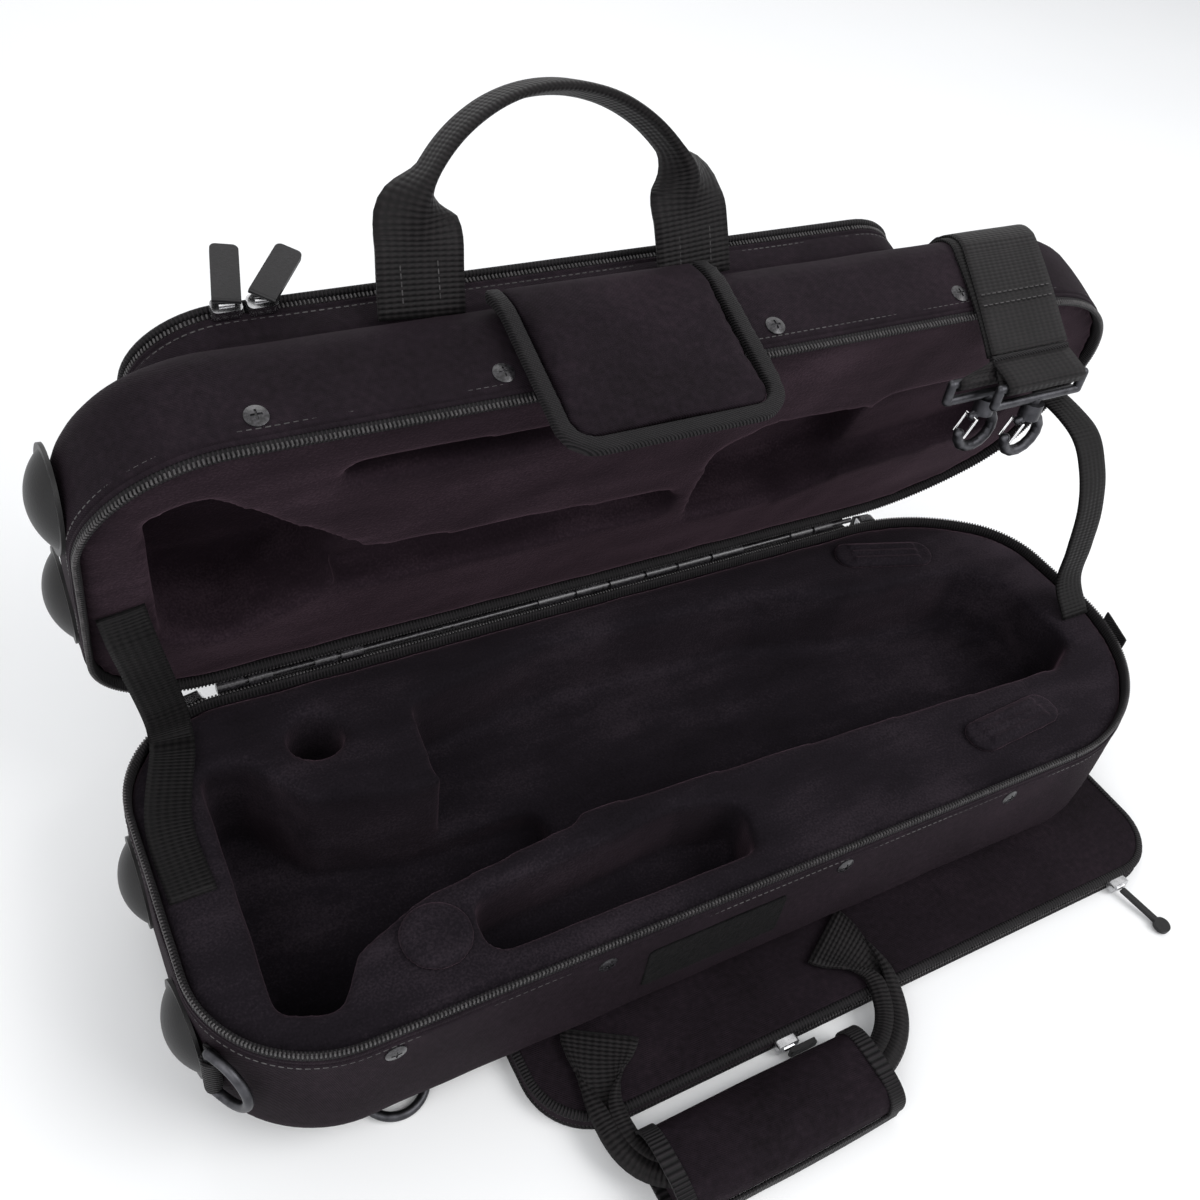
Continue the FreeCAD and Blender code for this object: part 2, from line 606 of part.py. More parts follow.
def bumper(name, foot, degrees, z, placement):
    """A dome on a round flange, turned about the axis that leaves the wall."""
    owner = new_body(name)
    sketch = new_sketch(owner, "XZ_Plane")
    rise, dome, flange = cell("bumper_height"), cell("bumper_radius"), cell("flange_radius")
    thick = cell("flange_thickness")
    round_radius = (dome * dome + (rise - thick) * (rise - thick)) / ((rise - thick) * 2)
    centre_z = rise - round_radius
    start = math.degrees(math.asin(float(thick - centre_z) / float(round_radius)))
    first = close_loop(sketch, [
        line(ZERO, ZERO, flange, ZERO),
        line(flange, ZERO, flange, thick),
        line(flange, thick, dome, thick),
        arc(ZERO, centre_z, round_radius, start, 90),
        line(ZERO, rise, ZERO, ZERO),
    ], "Coincident")
    for offset, direction in ((0, "Horizontal"), (1, "Vertical"), (2, "Horizontal"), (4, "Vertical")):
        sketch.addConstraint(Sketcher.Constraint(direction, first + offset))
    locate(sketch, first, 1, x=ZERO, y=ZERO)
    locate(sketch, first + 1, 2, x=flange, y=thick)
    locate(sketch, first + 2, 2, x=dome)
    locate(sketch, first + 3, 2, y=rise)
    dimension(sketch, "Radius", round_radius, first + 3)
    turn = owner.newObject("PartDesign::Revolution", name + "_turn")
    turn.Profile = sketch
    turn.ReferenceAxis = (sketch, ["V_Axis"])
    turn.Angle = 360
    doc.recompute()
    keep(owner, placement * moved(foot[0], foot[1], z) * turned(Z_AXIS, degrees) * turned(Y_AXIS, -90))


def corner_foot(degrees):
    """Where a line at this angle from the corner's centre meets the front left corner."""
    radius = float(cell("front_left_radius"))
    across = math.radians(degrees)
    x = float(-HALF_LENGTH) + radius - radius * math.cos(across)
    y = float(WALL_FRONT) + radius - radius * math.sin(across)
    return x, y


FRONT_TURN = float(cell("front_bumper_angle"))
TRAY_BUMPER_Z = TRAY_RIM - cell("bumper_drop")
LID_BUMPER_Z = LID_RIM + cell("lid_bumper_rise")
BACK_FOOT = (-float(HALF_LENGTH), float(cell("back_bumper_y")))
FRONT_FOOT = corner_foot(FRONT_TURN)
bumper("tray_bumper_back", BACK_FOOT, 0, TRAY_BUMPER_Z, AT_REST)
bumper("tray_bumper_front", FRONT_FOOT, FRONT_TURN, TRAY_BUMPER_Z, AT_REST)
bumper("lid_bumper_back", BACK_FOOT, 0, LID_BUMPER_Z, LID_OPEN)
bumper("lid_bumper_front", FRONT_FOOT, FRONT_TURN, LID_BUMPER_Z, LID_OPEN)


# Screws in pairs along both front walls

def screw_shape(x, z):
    """A low domed head with a cross recess, and a shank that ends flush inside the shell's wall."""
    head = cell("screw_head_height")
    radius = float(cell("screw_head_radius"))
    rim = float(cell("screw_rim_height"))
    rise = float(head) - rim
    sphere_radius = (radius * radius + rise * rise) / (2 * rise)
    face = vector(x, WALL_FRONT, z)
    base = face - Y_AXIS * rim
    dome = Part.makeSphere(sphere_radius, base + Y_AXIS * (sphere_radius - rise))
    dome = dome.common(Part.makeCylinder(radius, rise, base, -Y_AXIS))
    shape = dome.fuse(Part.makeCylinder(radius, rim, face, -Y_AXIS)).removeSplitter()
    slot, depth = float(cell("screw_slot")), float(cell("screw_slot_depth"))
    for width, height in ((radius, slot), (slot, radius)):
        corner = face - FreeCAD.Vector(width / 2, float(head), height / 2)
        shape = shape.cut(Part.makeBox(width, depth, height, corner))
    return shape


SCREW_NAMES = ("screw_outer_left", "screw_inner_left", "screw_inner_right", "screw_outer_right")
TRAY_SCREW_Z = TRAY_RIM - cell("screw_drop")
LID_SCREW_Z = LID_RIM + cell("screw_drop")
solid_node("tray_screws", Part.makeCompound([screw_shape(cell(name), TRAY_SCREW_Z) for name in SCREW_NAMES]))
solid_node("lid_screws", Part.makeCompound([screw_shape(cell(name), LID_SCREW_Z) for name in SCREW_NAMES]),
           LID_OPEN)


# Closure flap, its binding and the hook and loop patches

PATCH_TOP = TRAY_RIM - cell("patch_drop")
FLAP_STANDOFF = cell("patch_thickness") * 2 + GAP * 2
FLAP_BEND_Y = WALL_FRONT + cell("lid_edge_radius")
FLAP_BEND_Z = LID_TOP - cell("lid_edge_radius")
FLAP_INNER = cell("lid_edge_radius") + FLAP_STANDOFF


def patch(name, front, bottom, height, placement):
    owner = new_body(name)
    sketch = new_sketch(owner, "XZ_Plane", -front)
    middle = cell("flap_x")
    draw_rounded(sketch, middle - cell("patch_width") / 2, bottom, middle + cell("patch_width") / 2,
                 bottom + height, cell("patch_corner"))
    padded(owner, sketch, cell("patch_thickness"))
    return keep(owner, placement)


patch("loop_patch", WALL_FRONT, PATCH_TOP - cell("patch_height"), cell("patch_height"), AT_REST)


def flap_section(inner, outer, root_degrees, bottom):
    """The flap from the side: straight down the wall, bent over the lid's edge."""
    centre = vector(ZERO, FLAP_BEND_Y, FLAP_BEND_Z)

    def on(radius, degrees):
        turn = math.radians(degrees)
        return centre + FreeCAD.Vector(0, -radius * math.cos(turn), radius * math.sin(turn))

    half = root_degrees / 2
    lower_inner = FreeCAD.Vector(0, centre.y - inner, bottom)
    lower_outer = FreeCAD.Vector(0, centre.y - outer, bottom)
    edges = [Part.makeLine(lower_inner, on(inner, 0)),
             Part.Arc(on(inner, 0), on(inner, half), on(inner, root_degrees)).toShape(),
             Part.makeLine(on(inner, root_degrees), on(outer, root_degrees)),
             Part.Arc(on(outer, root_degrees), on(outer, half), on(outer, 0)).toShape(),
             Part.makeLine(on(outer, 0), lower_outer),
             Part.makeLine(lower_outer, lower_inner)]
    return Part.Face(Part.Wire(edges))


def flap_block(width, inner, outer, bottom, corner):
    middle = float(cell("flap_x"))
    face = flap_section(inner, outer, float(cell("flap_root_angle")), bottom)
    face.translate(FreeCAD.Vector(middle - width / 2, 0, 0))
    block = face.extrude(FreeCAD.Vector(width, 0, 0))
    lower = [edge for edge in block.Edges
             if edge.BoundBox.YLength > 1e-3 and abs(edge.BoundBox.ZMax - bottom) < 1e-4]
    return block.makeFillet(corner, lower)


def flap_parts():
    """The padded panel inside and the folded binding round its three free edges."""
    width, edge = float(cell("flap_width")), float(cell("binding_width"))
    inner, outer = float(FLAP_INNER), float(FLAP_INNER + cell("flap_thickness"))
    proud = float(cell("binding_proud"))
    bottom = float(LID_RIM - cell("flap_reach"))
    corner = float(cell("flap_corner"))
    panel = flap_block(width - 2 * edge, inner, outer, bottom + edge, corner - edge)
    whole = flap_block(width, inner, outer + proud, bottom, corner)
    beyond = float(cell("overrun")) / 2
    window = flap_block(width - 2 * edge, inner - beyond, outer + proud + beyond, bottom + edge, corner - edge)
    binding = whole.cut(window)
    turn = math.radians(float(cell("flap_root_angle")))
    root_radius = float(cell("lid_edge_radius") + GAP + cell("flap_thickness") / 2)
    root = FreeCAD.Vector(float(cell("flap_x")) - width / 2 + edge,
                          float(FLAP_BEND_Y) - root_radius * math.cos(turn),
                          float(FLAP_BEND_Z) + root_radius * math.sin(turn))
    knuckle = Part.makeCylinder(float(cell("flap_thickness")) / 2, width - 2 * edge, root, X_AXIS)
    return panel.fuse(knuckle).removeSplitter(), binding, root


FLAP_PANEL, FLAP_EDGE, FLAP_ROOT = flap_parts()
solid_node("closure_flap", FLAP_PANEL, LID_OPEN)
solid_node("flap_binding", FLAP_EDGE, LID_OPEN)
HOOK_BACK = WALL_FRONT - FLAP_STANDOFF + cell("patch_thickness")
HOOK_BOTTOM = LID_RIM - cell("flap_reach") + cell("hook_patch_margin")
patch("hook_patch", HOOK_BACK, HOOK_BOTTOM, cell("hook_patch_height"), LID_OPEN)


# Webbing

def strip(stations, width, thickness, across=X_AXIS):
    """A flat band through places along its middle, with its width along one direction."""
    sections = []
    for index, place in enumerate(stations):
        before = stations[max(index - 1, 0)]
        after = stations[min(index + 1, len(stations) - 1)]
        along = (after - before).normalize()
        normal = along.cross(across).normalize()
        corners = [place + across * (width / 2 * s) + normal * (thickness / 2 * n)
                   for s, n in ((-1, -1), (1, -1), (1, 1), (-1, 1))]
        sections.append(Part.makePolygon(corners + corners[:1]))
    return Part.makeLoft(sections, True, True)


def plate(points, thickness):
    """A flat plate on a polygon in the XY plane, centred on that plane."""
    face = Part.Face(Part.makePolygon(points + points[:1]))
    face.translate(FreeCAD.Vector(0, 0, -thickness / 2))
    return face.extrude(FreeCAD.Vector(0, 0, thickness))


def leg(base_x, base_y, neck_x, neck_y):
    """A handle's leg, wide where it is sewn down and drawn in at its neck."""
    wide, narrow = float(cell("handle_width")) / 2, float(cell("handle_neck")) / 2
    points = [vector(base_x - wide, base_y), vector(base_x + wide, base_y),
              vector(neck_x + narrow, neck_y), vector(neck_x - narrow, neck_y)]
    return plate(points, float(cell("webbing_thickness")))


def knuckle(base_x, base_y):
    width = float(cell("handle_width"))
    return Part.makeCylinder(float(cell("knuckle_radius")), width, vector(base_x - width / 2, base_y), X_AXIS)


def top_handle():
    """Two legs of flat webbing with a folded arch between their necks."""
    half = float(cell("top_handle_span")) / 2
    neck = float(cell("top_handle_neck_height"))
    rise = float(cell("top_handle_rise"))
    drawn = float(cell("handle_width") - cell("handle_neck")) / 2
    neck_half = half - drawn / 2
    radius = (neck_half * neck_half + rise * rise) / (2 * rise)
    turn = math.degrees(math.asin(neck_half / radius))
    centre = FreeCAD.Vector(0, neck + rise - radius, 0)
    inner, outer = radius - float(cell("arch_thickness")) / 2, radius + float(cell("arch_thickness")) / 2
    width = float(cell("arch_width"))
    ring = Part.makeCylinder(outer, width, FreeCAD.Vector(0, 0, -width / 2)).cut(
        Part.makeCylinder(inner, width, FreeCAD.Vector(0, 0, -width / 2)))
    reach = 2 * outer
    lower = FreeCAD.Vector(0, 0, 0)
    aside, ahead = reach * math.sin(math.radians(turn)), reach * math.cos(math.radians(turn))
    sides = [FreeCAD.Vector(sign * aside, ahead, 0) for sign in (-1, 1)]
    wedge = plate([lower, sides[1], FreeCAD.Vector(reach, 2 * reach, 0), FreeCAD.Vector(-reach, 2 * reach, 0),
                   sides[0]], 2 * width)
    arch = ring.common(wedge)
    arch.translate(centre)
    shape = arch
    for sign in (-1, 1):
        shape = shape.fuse(leg(sign * half, 0, sign * neck_half, neck + float(cell("arch_thickness"))))
        shape = shape.fuse(knuckle(sign * half, 0))
    tilt = turned(X_AXIS, 90 + float(cell("top_handle_tilt")))
    base = moved(cell("top_handle_x"), cell("top_handle_base_y"), TOP_HANDLE_Z)
    solid_node("top_handle", shape.removeSplitter(), LID_OPEN * base * tilt)


TOP_HANDLE_SEAT = float(cell("lid_edge_radius") + cell("knuckle_radius") + GAP)
TOP_HANDLE_OVER = float(cell("top_handle_base_y") - FLAP_BEND_Y)
TOP_HANDLE_Z = float(FLAP_BEND_Z) + math.sqrt(TOP_HANDLE_SEAT ** 2 - TOP_HANDLE_OVER ** 2)
top_handle()


def bent_bar(points, radius, width, height):
    """A rectangular bar along a flat route of runs and tangent arcs."""
    edges = []
    last = points[0]
    for index in range(1, len(points) - 1):
        here, before, after = points[index], points[index - 1], points[index + 1]
        back, ahead = (before - here), (after - here)
        half = back.getAngle(ahead) / 2
        reach = min(radius / math.tan(half), back.Length * RUN_SHARE, ahead.Length * RUN_SHARE)
        start = here + back.normalize() * reach
        end = here + ahead.normalize() * reach
        middle = here + (back + ahead).normalize() * (reach / math.cos(half) - reach * math.tan(half))
        edges.append(Part.makeLine(last, start))
        edges.append(Part.Arc(start, middle, end).toShape())
        last = end
    edges.append(Part.makeLine(last, points[-1]))
    outline = Part.Wire(edges).makeOffset2D(width / 2, 0, False, False)
    face = Part.Face(outline)
    face.translate(FreeCAD.Vector(0, 0, -height / 2))
    return face.extrude(FreeCAD.Vector(0, 0, height))


GRIP_ROUND_SHARE = 0.46


def bottom_handle():
    """Webbing that leaves the tray's lower front edge, lies forward and runs through a padded grip."""
    middle, half = float(cell("bottom_handle_x")), float(cell("bottom_handle_span")) / 2
    base_y, neck_y = float(cell("bottom_handle_base_y")), float(cell("bottom_neck_y"))
    spread = float(cell("bottom_neck_spread"))
    grip_y, grip_x = float(cell("grip_y")), float(cell("grip_x"))
    grip_half = float(cell("grip_length")) / 2
    width, height = float(cell("roll_width")), float(cell("roll_thickness"))
    inward = -float(cell("handle_neck")) / 2
    route = [FreeCAD.Vector(middle - half - spread, neck_y - inward, 0),
             FreeCAD.Vector(middle - half - spread, (neck_y + grip_y) / 2, 0),
             FreeCAD.Vector(grip_x - grip_half - width / 2, grip_y, 0),
             FreeCAD.Vector(grip_x + grip_half + width / 2, grip_y, 0),
             FreeCAD.Vector(middle + half + spread, (neck_y + grip_y) / 2, 0),
             FreeCAD.Vector(middle + half + spread, neck_y - inward, 0)]
    webbing = bent_bar(route, float(cell("roll_bend")), width, height)
    for sign in (-1, 1):
        base_x = middle + sign * half
        webbing = webbing.fuse(leg(base_x, base_y, base_x + sign * spread, neck_y))
        webbing = webbing.fuse(knuckle(base_x, base_y))
    place = moved(ZERO, ZERO, cell("bottom_handle_z"))
    solid_node("bottom_handle_webbing", webbing.removeSplitter(), place)
    thick, deep = float(cell("grip_height")), float(cell("grip_width"))
    start = FreeCAD.Vector(grip_x - grip_half, grip_y, 0)
    core = Part.makeBox(2 * grip_half, deep, thick, start - FreeCAD.Vector(0, deep / 2, thick / 2))
    long_edges = [edge for edge in core.Edges if edge.BoundBox.XLength > 1e-3]
    core = core.makeFillet(thick * GRIP_ROUND_SHARE, long_edges)
    fit = float(GAP)
    slot = Part.makeBox(2 * grip_half, width + 2 * fit, height + 2 * fit,
                        start - FreeCAD.Vector(0, width / 2 + fit, height / 2 + fit))
    solid_node("bottom_handle_grip", core.cut(slot), place)


bottom_handle()


# Accessory pocket on the lid

POCKET_BASE = LID_TOP + GAP
PANEL_ROUND_SHARE = 0.7


def pocket_ring(name, left, front, right, back, corner, wall, bottom, height, placement):
    owner = new_body(name)
    sketch = new_sketch(owner, "XY_Plane", bottom)
    draw_rounded(sketch, left, front, right, back, corner)
    draw_rounded(sketch, left + wall, front + wall, right - wall, back - wall, corner - wall)
    padded(owner, sketch, height)
    return keep(owner, placement)


def pocket_panel(name, left, front, right, back, corner, bottom, thickness, placement):
    owner = new_body(name)
    sketch = new_sketch(owner, "XY_Plane", bottom)
    draw_rounded(sketch, left, front, right, back, corner)
    padded(owner, sketch, thickness)
    return keep(owner, placement)


def accessory_panel():
    """The pocket's top, rounded along its edge, with a welt along its back that it folds open on."""
    owner = new_body("accessory_panel")
    sketch = new_sketch(owner, "XY_Plane", PANEL_BASE)
    draw_rounded(sketch, *ACCESSORY)
    pad = padded(owner, sketch, cell("accessory_panel_thickness"))
    top = PANEL_BASE + cell("accessory_panel_thickness")
    filleted(owner, pad, edges_where(pad, at_height(top)),
             cell("accessory_panel_thickness") * PANEL_ROUND_SHARE)
    welt = new_sketch(owner, "YZ_Plane", cell("accessory_left") + cell("accessory_corner"))
    y, z = cell("accessory_back") + cell("welt_offset"), PANEL_BASE + cell("welt_radius")
    welt.addGeometry(Part.Circle(vector(y, z), Z_AXIS, float(cell("welt_radius"))), False)
    dimension(welt, "Radius", cell("welt_radius"), 0)
    locate(welt, 0, 3, x=y, y=z)
    padded(owner, welt, cell("accessory_right") - cell("accessory_left") - cell("accessory_corner") * 2)
    return keep(owner, LID_OPEN)


ACCESSORY = (cell("accessory_left"), cell("accessory_front"), cell("accessory_right"), cell("accessory_back"),
             cell("accessory_corner"))
ZIP_BASE = POCKET_BASE + cell("accessory_rise")
PANEL_BASE = ZIP_BASE + cell("accessory_zip_height") + GAP
pocket_ring("accessory_gusset", *ACCESSORY, cell("pocket_wall"), POCKET_BASE, cell("accessory_rise"), LID_OPEN)
pocket_ring("accessory_zip", *ACCESSORY, cell("zip_width"), ZIP_BASE, cell("accessory_zip_height"), LID_OPEN)
accessory_panel()


# Zip sliders and pulls

SLIDER_ROUND_SHARE = 0.3
BRIDGE_SHARE = 0.18
BRIDGE_RUN_SHARE = 0.5
PULL_ROUND_SHARE = 0.22


def slider_shape():
    """A slider's body, its long side along the zip, with the bridge that carries the pull.

    The zip is at y = 0 and the slider stands towards -Y.
    """
    length, width, depth = (float(cell(name)) for name in ("slider_length", "slider_width", "slider_depth"))
    body = Part.makeBox(length, depth, width, FreeCAD.Vector(-length / 2, -depth, -width / 2))
    upright = [edge for edge in body.Edges if edge.BoundBox.YLength > 1e-4]
    body = body.makeFillet(width * SLIDER_ROUND_SHARE, upright)
    run = length * BRIDGE_RUN_SHARE
    bridge = Part.makeCylinder(width * BRIDGE_SHARE, run, FreeCAD.Vector(-run / 2, -depth, 0), X_AXIS)
    return body.fuse(bridge).removeSplitter()


def pull_shape(length, width, thickness):
    """A flat pull that runs along +X from its pin, rounded at its far corners and round at its pin."""
    bar = Part.makeBox(length, thickness, width, FreeCAD.Vector(0, -thickness / 2, -width / 2))
    far = [edge for edge in bar.Edges
           if edge.BoundBox.YLength > 1e-4 and abs(edge.BoundBox.XMin - length) < 1e-4]
    bar = bar.makeFillet(width * PULL_ROUND_SHARE, far)
    pin = Part.makeCylinder(thickness / 2, width, FreeCAD.Vector(0, 0, -width / 2), Z_AXIS)
    return bar.fuse(pin).removeSplitter()


def long_pull():
    return pull_shape(float(cell("pull_length")), float(cell("pull_width")), float(cell("pull_thickness")))


# How far a pull's pin stands off the face that its slider rides on
PIN_STANDOFF = GAP * 2 + cell("slider_depth") + cell("slider_width") * BRIDGE_SHARE + cell("pull_thickness") / 2


def accessory_slider(side, x):
    """A slider on the pocket's front and a pull that lies over the pocket's edge."""
    front = cell("accessory_front")
    solid_node("accessory_slider_" + side, slider_shape(), LID_OPEN * moved(x, front - GAP, POCKET_ZIP_Z))
    upright = turned(Y_AXIS, -90 + float(cell("accessory_lean_" + side)))
    solid_node("accessory_pull_" + side, long_pull(),
               LID_OPEN * moved(x, front - PIN_STANDOFF, POCKET_ZIP_Z) * upright)


POCKET_ZIP_Z = ZIP_BASE + cell("accessory_zip_height") / 2
CORNER_START = cell("accessory_left") + cell("accessory_corner")
accessory_slider("left", CORNER_START)
accessory_slider("right", CORNER_START + cell("accessory_slider_spacing"))


def cord_pull():
    """A cord that runs along +X from its pin to a flat drop at its end."""
    length, width, drop = (float(cell(name)) for name in
                           ("cord_pull_length", "cord_pull_width", "cord_pull_drop_width"))
    thickness = float(cell("pull_thickness"))
    cord = pull_shape(length - drop / 2, width, thickness)
    start = FreeCAD.Vector(length - drop / 2, -thickness / 2, 0)
    end = Part.makeCylinder(drop / 2, thickness, start, Y_AXIS)
    return cord.fuse(end).removeSplitter()


def music_sliders():
    """Sliders at both ends of the music pocket's mouth: a short pull along the zip and a cord pull."""
    middle_z = cell("panel_thickness") + cell("pouch_room") / 2
    front = cell("music_front")
    for side, x in (("left", cell("mouth_left")), ("right", cell("mouth_right"))):
        solid_node("music_slider_" + side, slider_shape(), moved(x, front - GAP, middle_z))
    short = pull_shape(float(cell("short_pull_length")), float(cell("short_pull_width")),
                       float(cell("pull_thickness")))
    solid_node("music_pull_left", short, moved(cell("mouth_left"), front - PIN_STANDOFF, middle_z))
    forward = turned(Z_AXIS, -90 + CORD_PULL_TURN) * turned(Y_AXIS, float(cell("cord_pull_droop")))
    flat = turned(X_AXIS, 90)
    solid_node("music_pull_right", cord_pull(),
               moved(cell("mouth_right"), front - PIN_STANDOFF, middle_z) * forward * flat)


CORD_PULL_TURN = 12.0
music_sliders()


def main_slider(side, centre_x, centre_y, radius, way):
    """A slider parked at the hinge end of the closing zip, on the plan's arc, with its pull hanging."""
    turn = way * math.degrees(float(cell("slider_length")) / float(radius))
    height = TRAY_RIM - cell("slider_width") / 2
    place = moved(centre_x, centre_y, height) * turned(Z_AXIS, 180 + turn)
    outward = moved(ZERO, -radius - GAP, ZERO)
    solid_node("main_zip_slider_" + side, slider_shape(), place * outward)
    pin = moved(ZERO, -radius - PIN_STANDOFF, ZERO)
    solid_node("main_pull_" + side, long_pull(), place * pin * turned(Y_AXIS, 90))


main_slider("left", cell("back_left_radius") - HALF_LENGTH, HALF_WIDTH - cell("back_left_radius"),
            cell("back_left_radius"), 1)
main_slider("right", cell("hinge_run_end"), HALF_WIDTH - HAUNCH, HAUNCH, -1)


# Music pocket under the tray, open at its front

MUSIC = (cell("music_left"), cell("music_front"), cell("music_right"), cell("music_back"), cell("music_corner"))
MUSIC_TOP = cell("panel_thickness") + cell("pouch_room")
pocket_panel("music_pocket_bottom", *MUSIC, ZERO, cell("panel_thickness"), AT_REST)
pocket_panel("music_pocket_top", *MUSIC, MUSIC_TOP, cell("panel_thickness"), AT_REST)


def mouth_cut(owner, base):
    cut = new_sketch(owner, "XY_Plane", base)
    draw_rectangle(cut, cell("mouth_left"), cell("music_front") - cell("overrun"), cell("mouth_right"),
                   cell("music_front") + cell("pocket_wall") + cell("overrun"))
    pocketed(owner, cut)


def music_gusset():
    owner = new_body("music_pocket_gusset")
    sketch = new_sketch(owner, "XY_Plane", cell("panel_thickness"))
    left, front, right, back, corner = MUSIC
    wall = cell("pocket_wall")
    draw_rounded(sketch, left, front, right, back, corner)
    draw_rounded(sketch, left + wall, front + wall, right - wall, back - wall, corner - wall)
    padded(owner, sketch, cell("pouch_room"))
    mouth_cut(owner, cell("panel_thickness"))
    return keep(owner)


def music_zip():
    """Both halves of the music pocket's zip, along the mouth."""
    length = float(cell("mouth_right") - cell("mouth_left") - GAP * 2)
    width, height = float(cell("music_zip_width")), float(cell("music_zip_height"))
    halves = [Part.makeBox(length, width, height, vector(cell("mouth_left") + GAP, cell("music_front"), bottom))
              for bottom in (cell("panel_thickness"), MUSIC_TOP - cell("music_zip_height"))]
    solid_node("music_zip", Part.makeCompound(halves))


music_gusset()
music_zip()


# D rings on webbing tabs

def d_ring_shape():
    """A straight bar along Y with a round bow, in the XY plane."""
    wire, half = float(cell("ring_wire")), float(cell("ring_width")) / 2
    reach = float(cell("ring_reach"))
    shoulder = reach - half
    start, end = FreeCAD.Vector(shoulder, -half, 0), FreeCAD.Vector(shoulder, half, 0)
    lower, upper = FreeCAD.Vector(0, -half, 0), FreeCAD.Vector(0, half, 0)
    bow = Part.Wire([Part.makeLine(lower, start), Part.Arc(start, FreeCAD.Vector(reach, 0, 0), end).toShape(),
                     Part.makeLine(end, upper)])
    section = Part.Wire(Part.makeCircle(wire, lower, X_AXIS))
    shape = bow.makePipeShell([section], True, False)
    shape = shape.fuse(Part.makeCylinder(wire, 2 * half, lower, Y_AXIS))
    for place in (lower, upper):
        shape = shape.fuse(Part.makeSphere(wire, place))
    return shape.removeSplitter()


def tab_shape(leaf_length):
    """A webbing tab folded round the ring's bar, its leaf along -X against the wall."""
    wire, fit = float(cell("ring_wire")), float(cell("running_gap"))
    width, thick = float(cell("tab_width")), float(cell("stay_thickness"))
    outer = wire + fit + thick
    start = FreeCAD.Vector(0, -width / 2, 0)
    loop = Part.makeCylinder(outer, width, start, Y_AXIS)
    length = float(leaf_length)
    leaf = Part.makeBox(length, width, thick, FreeCAD.Vector(-length, -width / 2, -outer))
    bore = Part.makeCylinder(wire + fit, width, start, Y_AXIS)
    return loop.fuse(leaf).cut(bore).removeSplitter()


TAB_LIFT = cell("ring_wire") + cell("running_gap") + cell("stay_thickness") + GAP


def wall_place(centre_x, centre_y, radius, degrees, z, along):
    """A ring's place on a corner of the plan: local Z leaves the wall there and local X runs along."""
    turn = math.radians(degrees)
    outward = FreeCAD.Vector(math.cos(turn), math.sin(turn), 0)
    base = vector(centre_x, centre_y, z) + outward * float(radius + TAB_LIFT)
    return FreeCAD.Placement(base, FreeCAD.Rotation(along, outward.cross(along), outward, "XZY"))


def ring_places():
    """Where each ring's bar lies: on the front left corner, on the front right one and under the tray."""
    left_radius, right_radius = cell("front_left_radius"), cell("front_right_radius")
    left_turn = 180 + float(cell("ring_left_angle"))
    across = math.radians(left_turn)
    left = wall_place(left_radius - HALF_LENGTH, left_radius - HALF_WIDTH, left_radius, left_turn,
                      TRAY_RIM - cell("ring_left_drop"), FreeCAD.Vector(-math.sin(across), math.cos(across), 0))
    right = wall_place(HALF_LENGTH - right_radius, right_radius - HALF_WIDTH, right_radius,
                       -float(cell("ring_right_angle")), TRAY_RIM - cell("ring_right_drop"), -Z_AXIS)
    under_turn = FreeCAD.Rotation(-Y_AXIS, -X_AXIS, -Z_AXIS, "XZY")
    under = FreeCAD.Placement(vector(cell("ring_under_x"), WALL_FRONT + cell("tray_edge_radius") + TAB_LIFT,
                                     TRAY_FLOOR - TAB_LIFT), under_turn)
    return {"left": left, "right": right, "under": under}


RING_PLACES = ring_places()
RING_DROOP = {"left": 0.0, "right": 0.0, "under": float(cell("ring_under_droop"))}
TAB_LENGTHS = {"left": cell("short_tab_length"), "right": cell("tab_length"), "under": cell("tab_length")}
tabs = []
for side in ("left", "right", "under"):
    solid_node("d_ring_" + side, d_ring_shape(), RING_PLACES[side] * turned(Y_AXIS, -RING_DROOP[side]))
    tab = tab_shape(TAB_LENGTHS[side])
    tab.Placement = RING_PLACES[side]
    tabs.append(tab)
solid_node("d_ring_tabs", Part.makeCompound(tabs))


# Stay straps between tray and lid, slack as the case stands open

def lid_point(x, y, z):
    """A place given on the closed lid, as it stands open."""
    return LID_OPEN.multVec(vector(x, y, z))


def stay_straps():
    """Each strap leaves the lid's lining inside its zip and ends on the tray's lining inside its zip."""
    width, thick = float(cell("stay_width")), float(cell("stay_thickness"))
    inside = float(HALF_LENGTH - cell("zip_width") - cell("stay_inset")) - width / 2
    seat = float(TRAY_FACE + GAP) + thick / 2
    rim = float(TRAY_RIM)
    half_width = float(HALF_WIDTH)
    anchor_z = LID_FACE - GAP - cell("stay_thickness") / 2
    top = lid_point(-inside, half_width * LEFT_STAY_SHARE, anchor_z)
    fold = FreeCAD.Vector(width * STAY_FOLD_SHARE - inside, half_width * LEFT_FOLD_SHARE, rim + thick)
    sewn = FreeCAD.Vector(-inside, -half_width * LEFT_STAY_SHARE, seat)
    left = [top, top + (fold - top) * STAY_LEAD_SHARE + FreeCAD.Vector(0, -2 * thick, 0),
            fold + FreeCAD.Vector(-thick, -thick, width), fold,
            fold + FreeCAD.Vector(-thick, -width / 2, -thick),
            sewn + FreeCAD.Vector(0, 2 * width, thick / 2), sewn]
    solid_node("stay_strap_left", strip(left, width, thick))
    top = lid_point(inside, -half_width * LEFT_STAY_SHARE, anchor_z)
    sewn = FreeCAD.Vector(inside, -half_width * RIGHT_SEAT_SHARE, seat)
    drop = top.z - sewn.z
    right = [top]
    for y_share, z_share in RIGHT_BOW_SHARES:
        right.append(FreeCAD.Vector(inside, half_width * y_share, sewn.z + drop * z_share))
    right.append(sewn)
    solid_node("stay_strap_right", strip(right, width, thick))


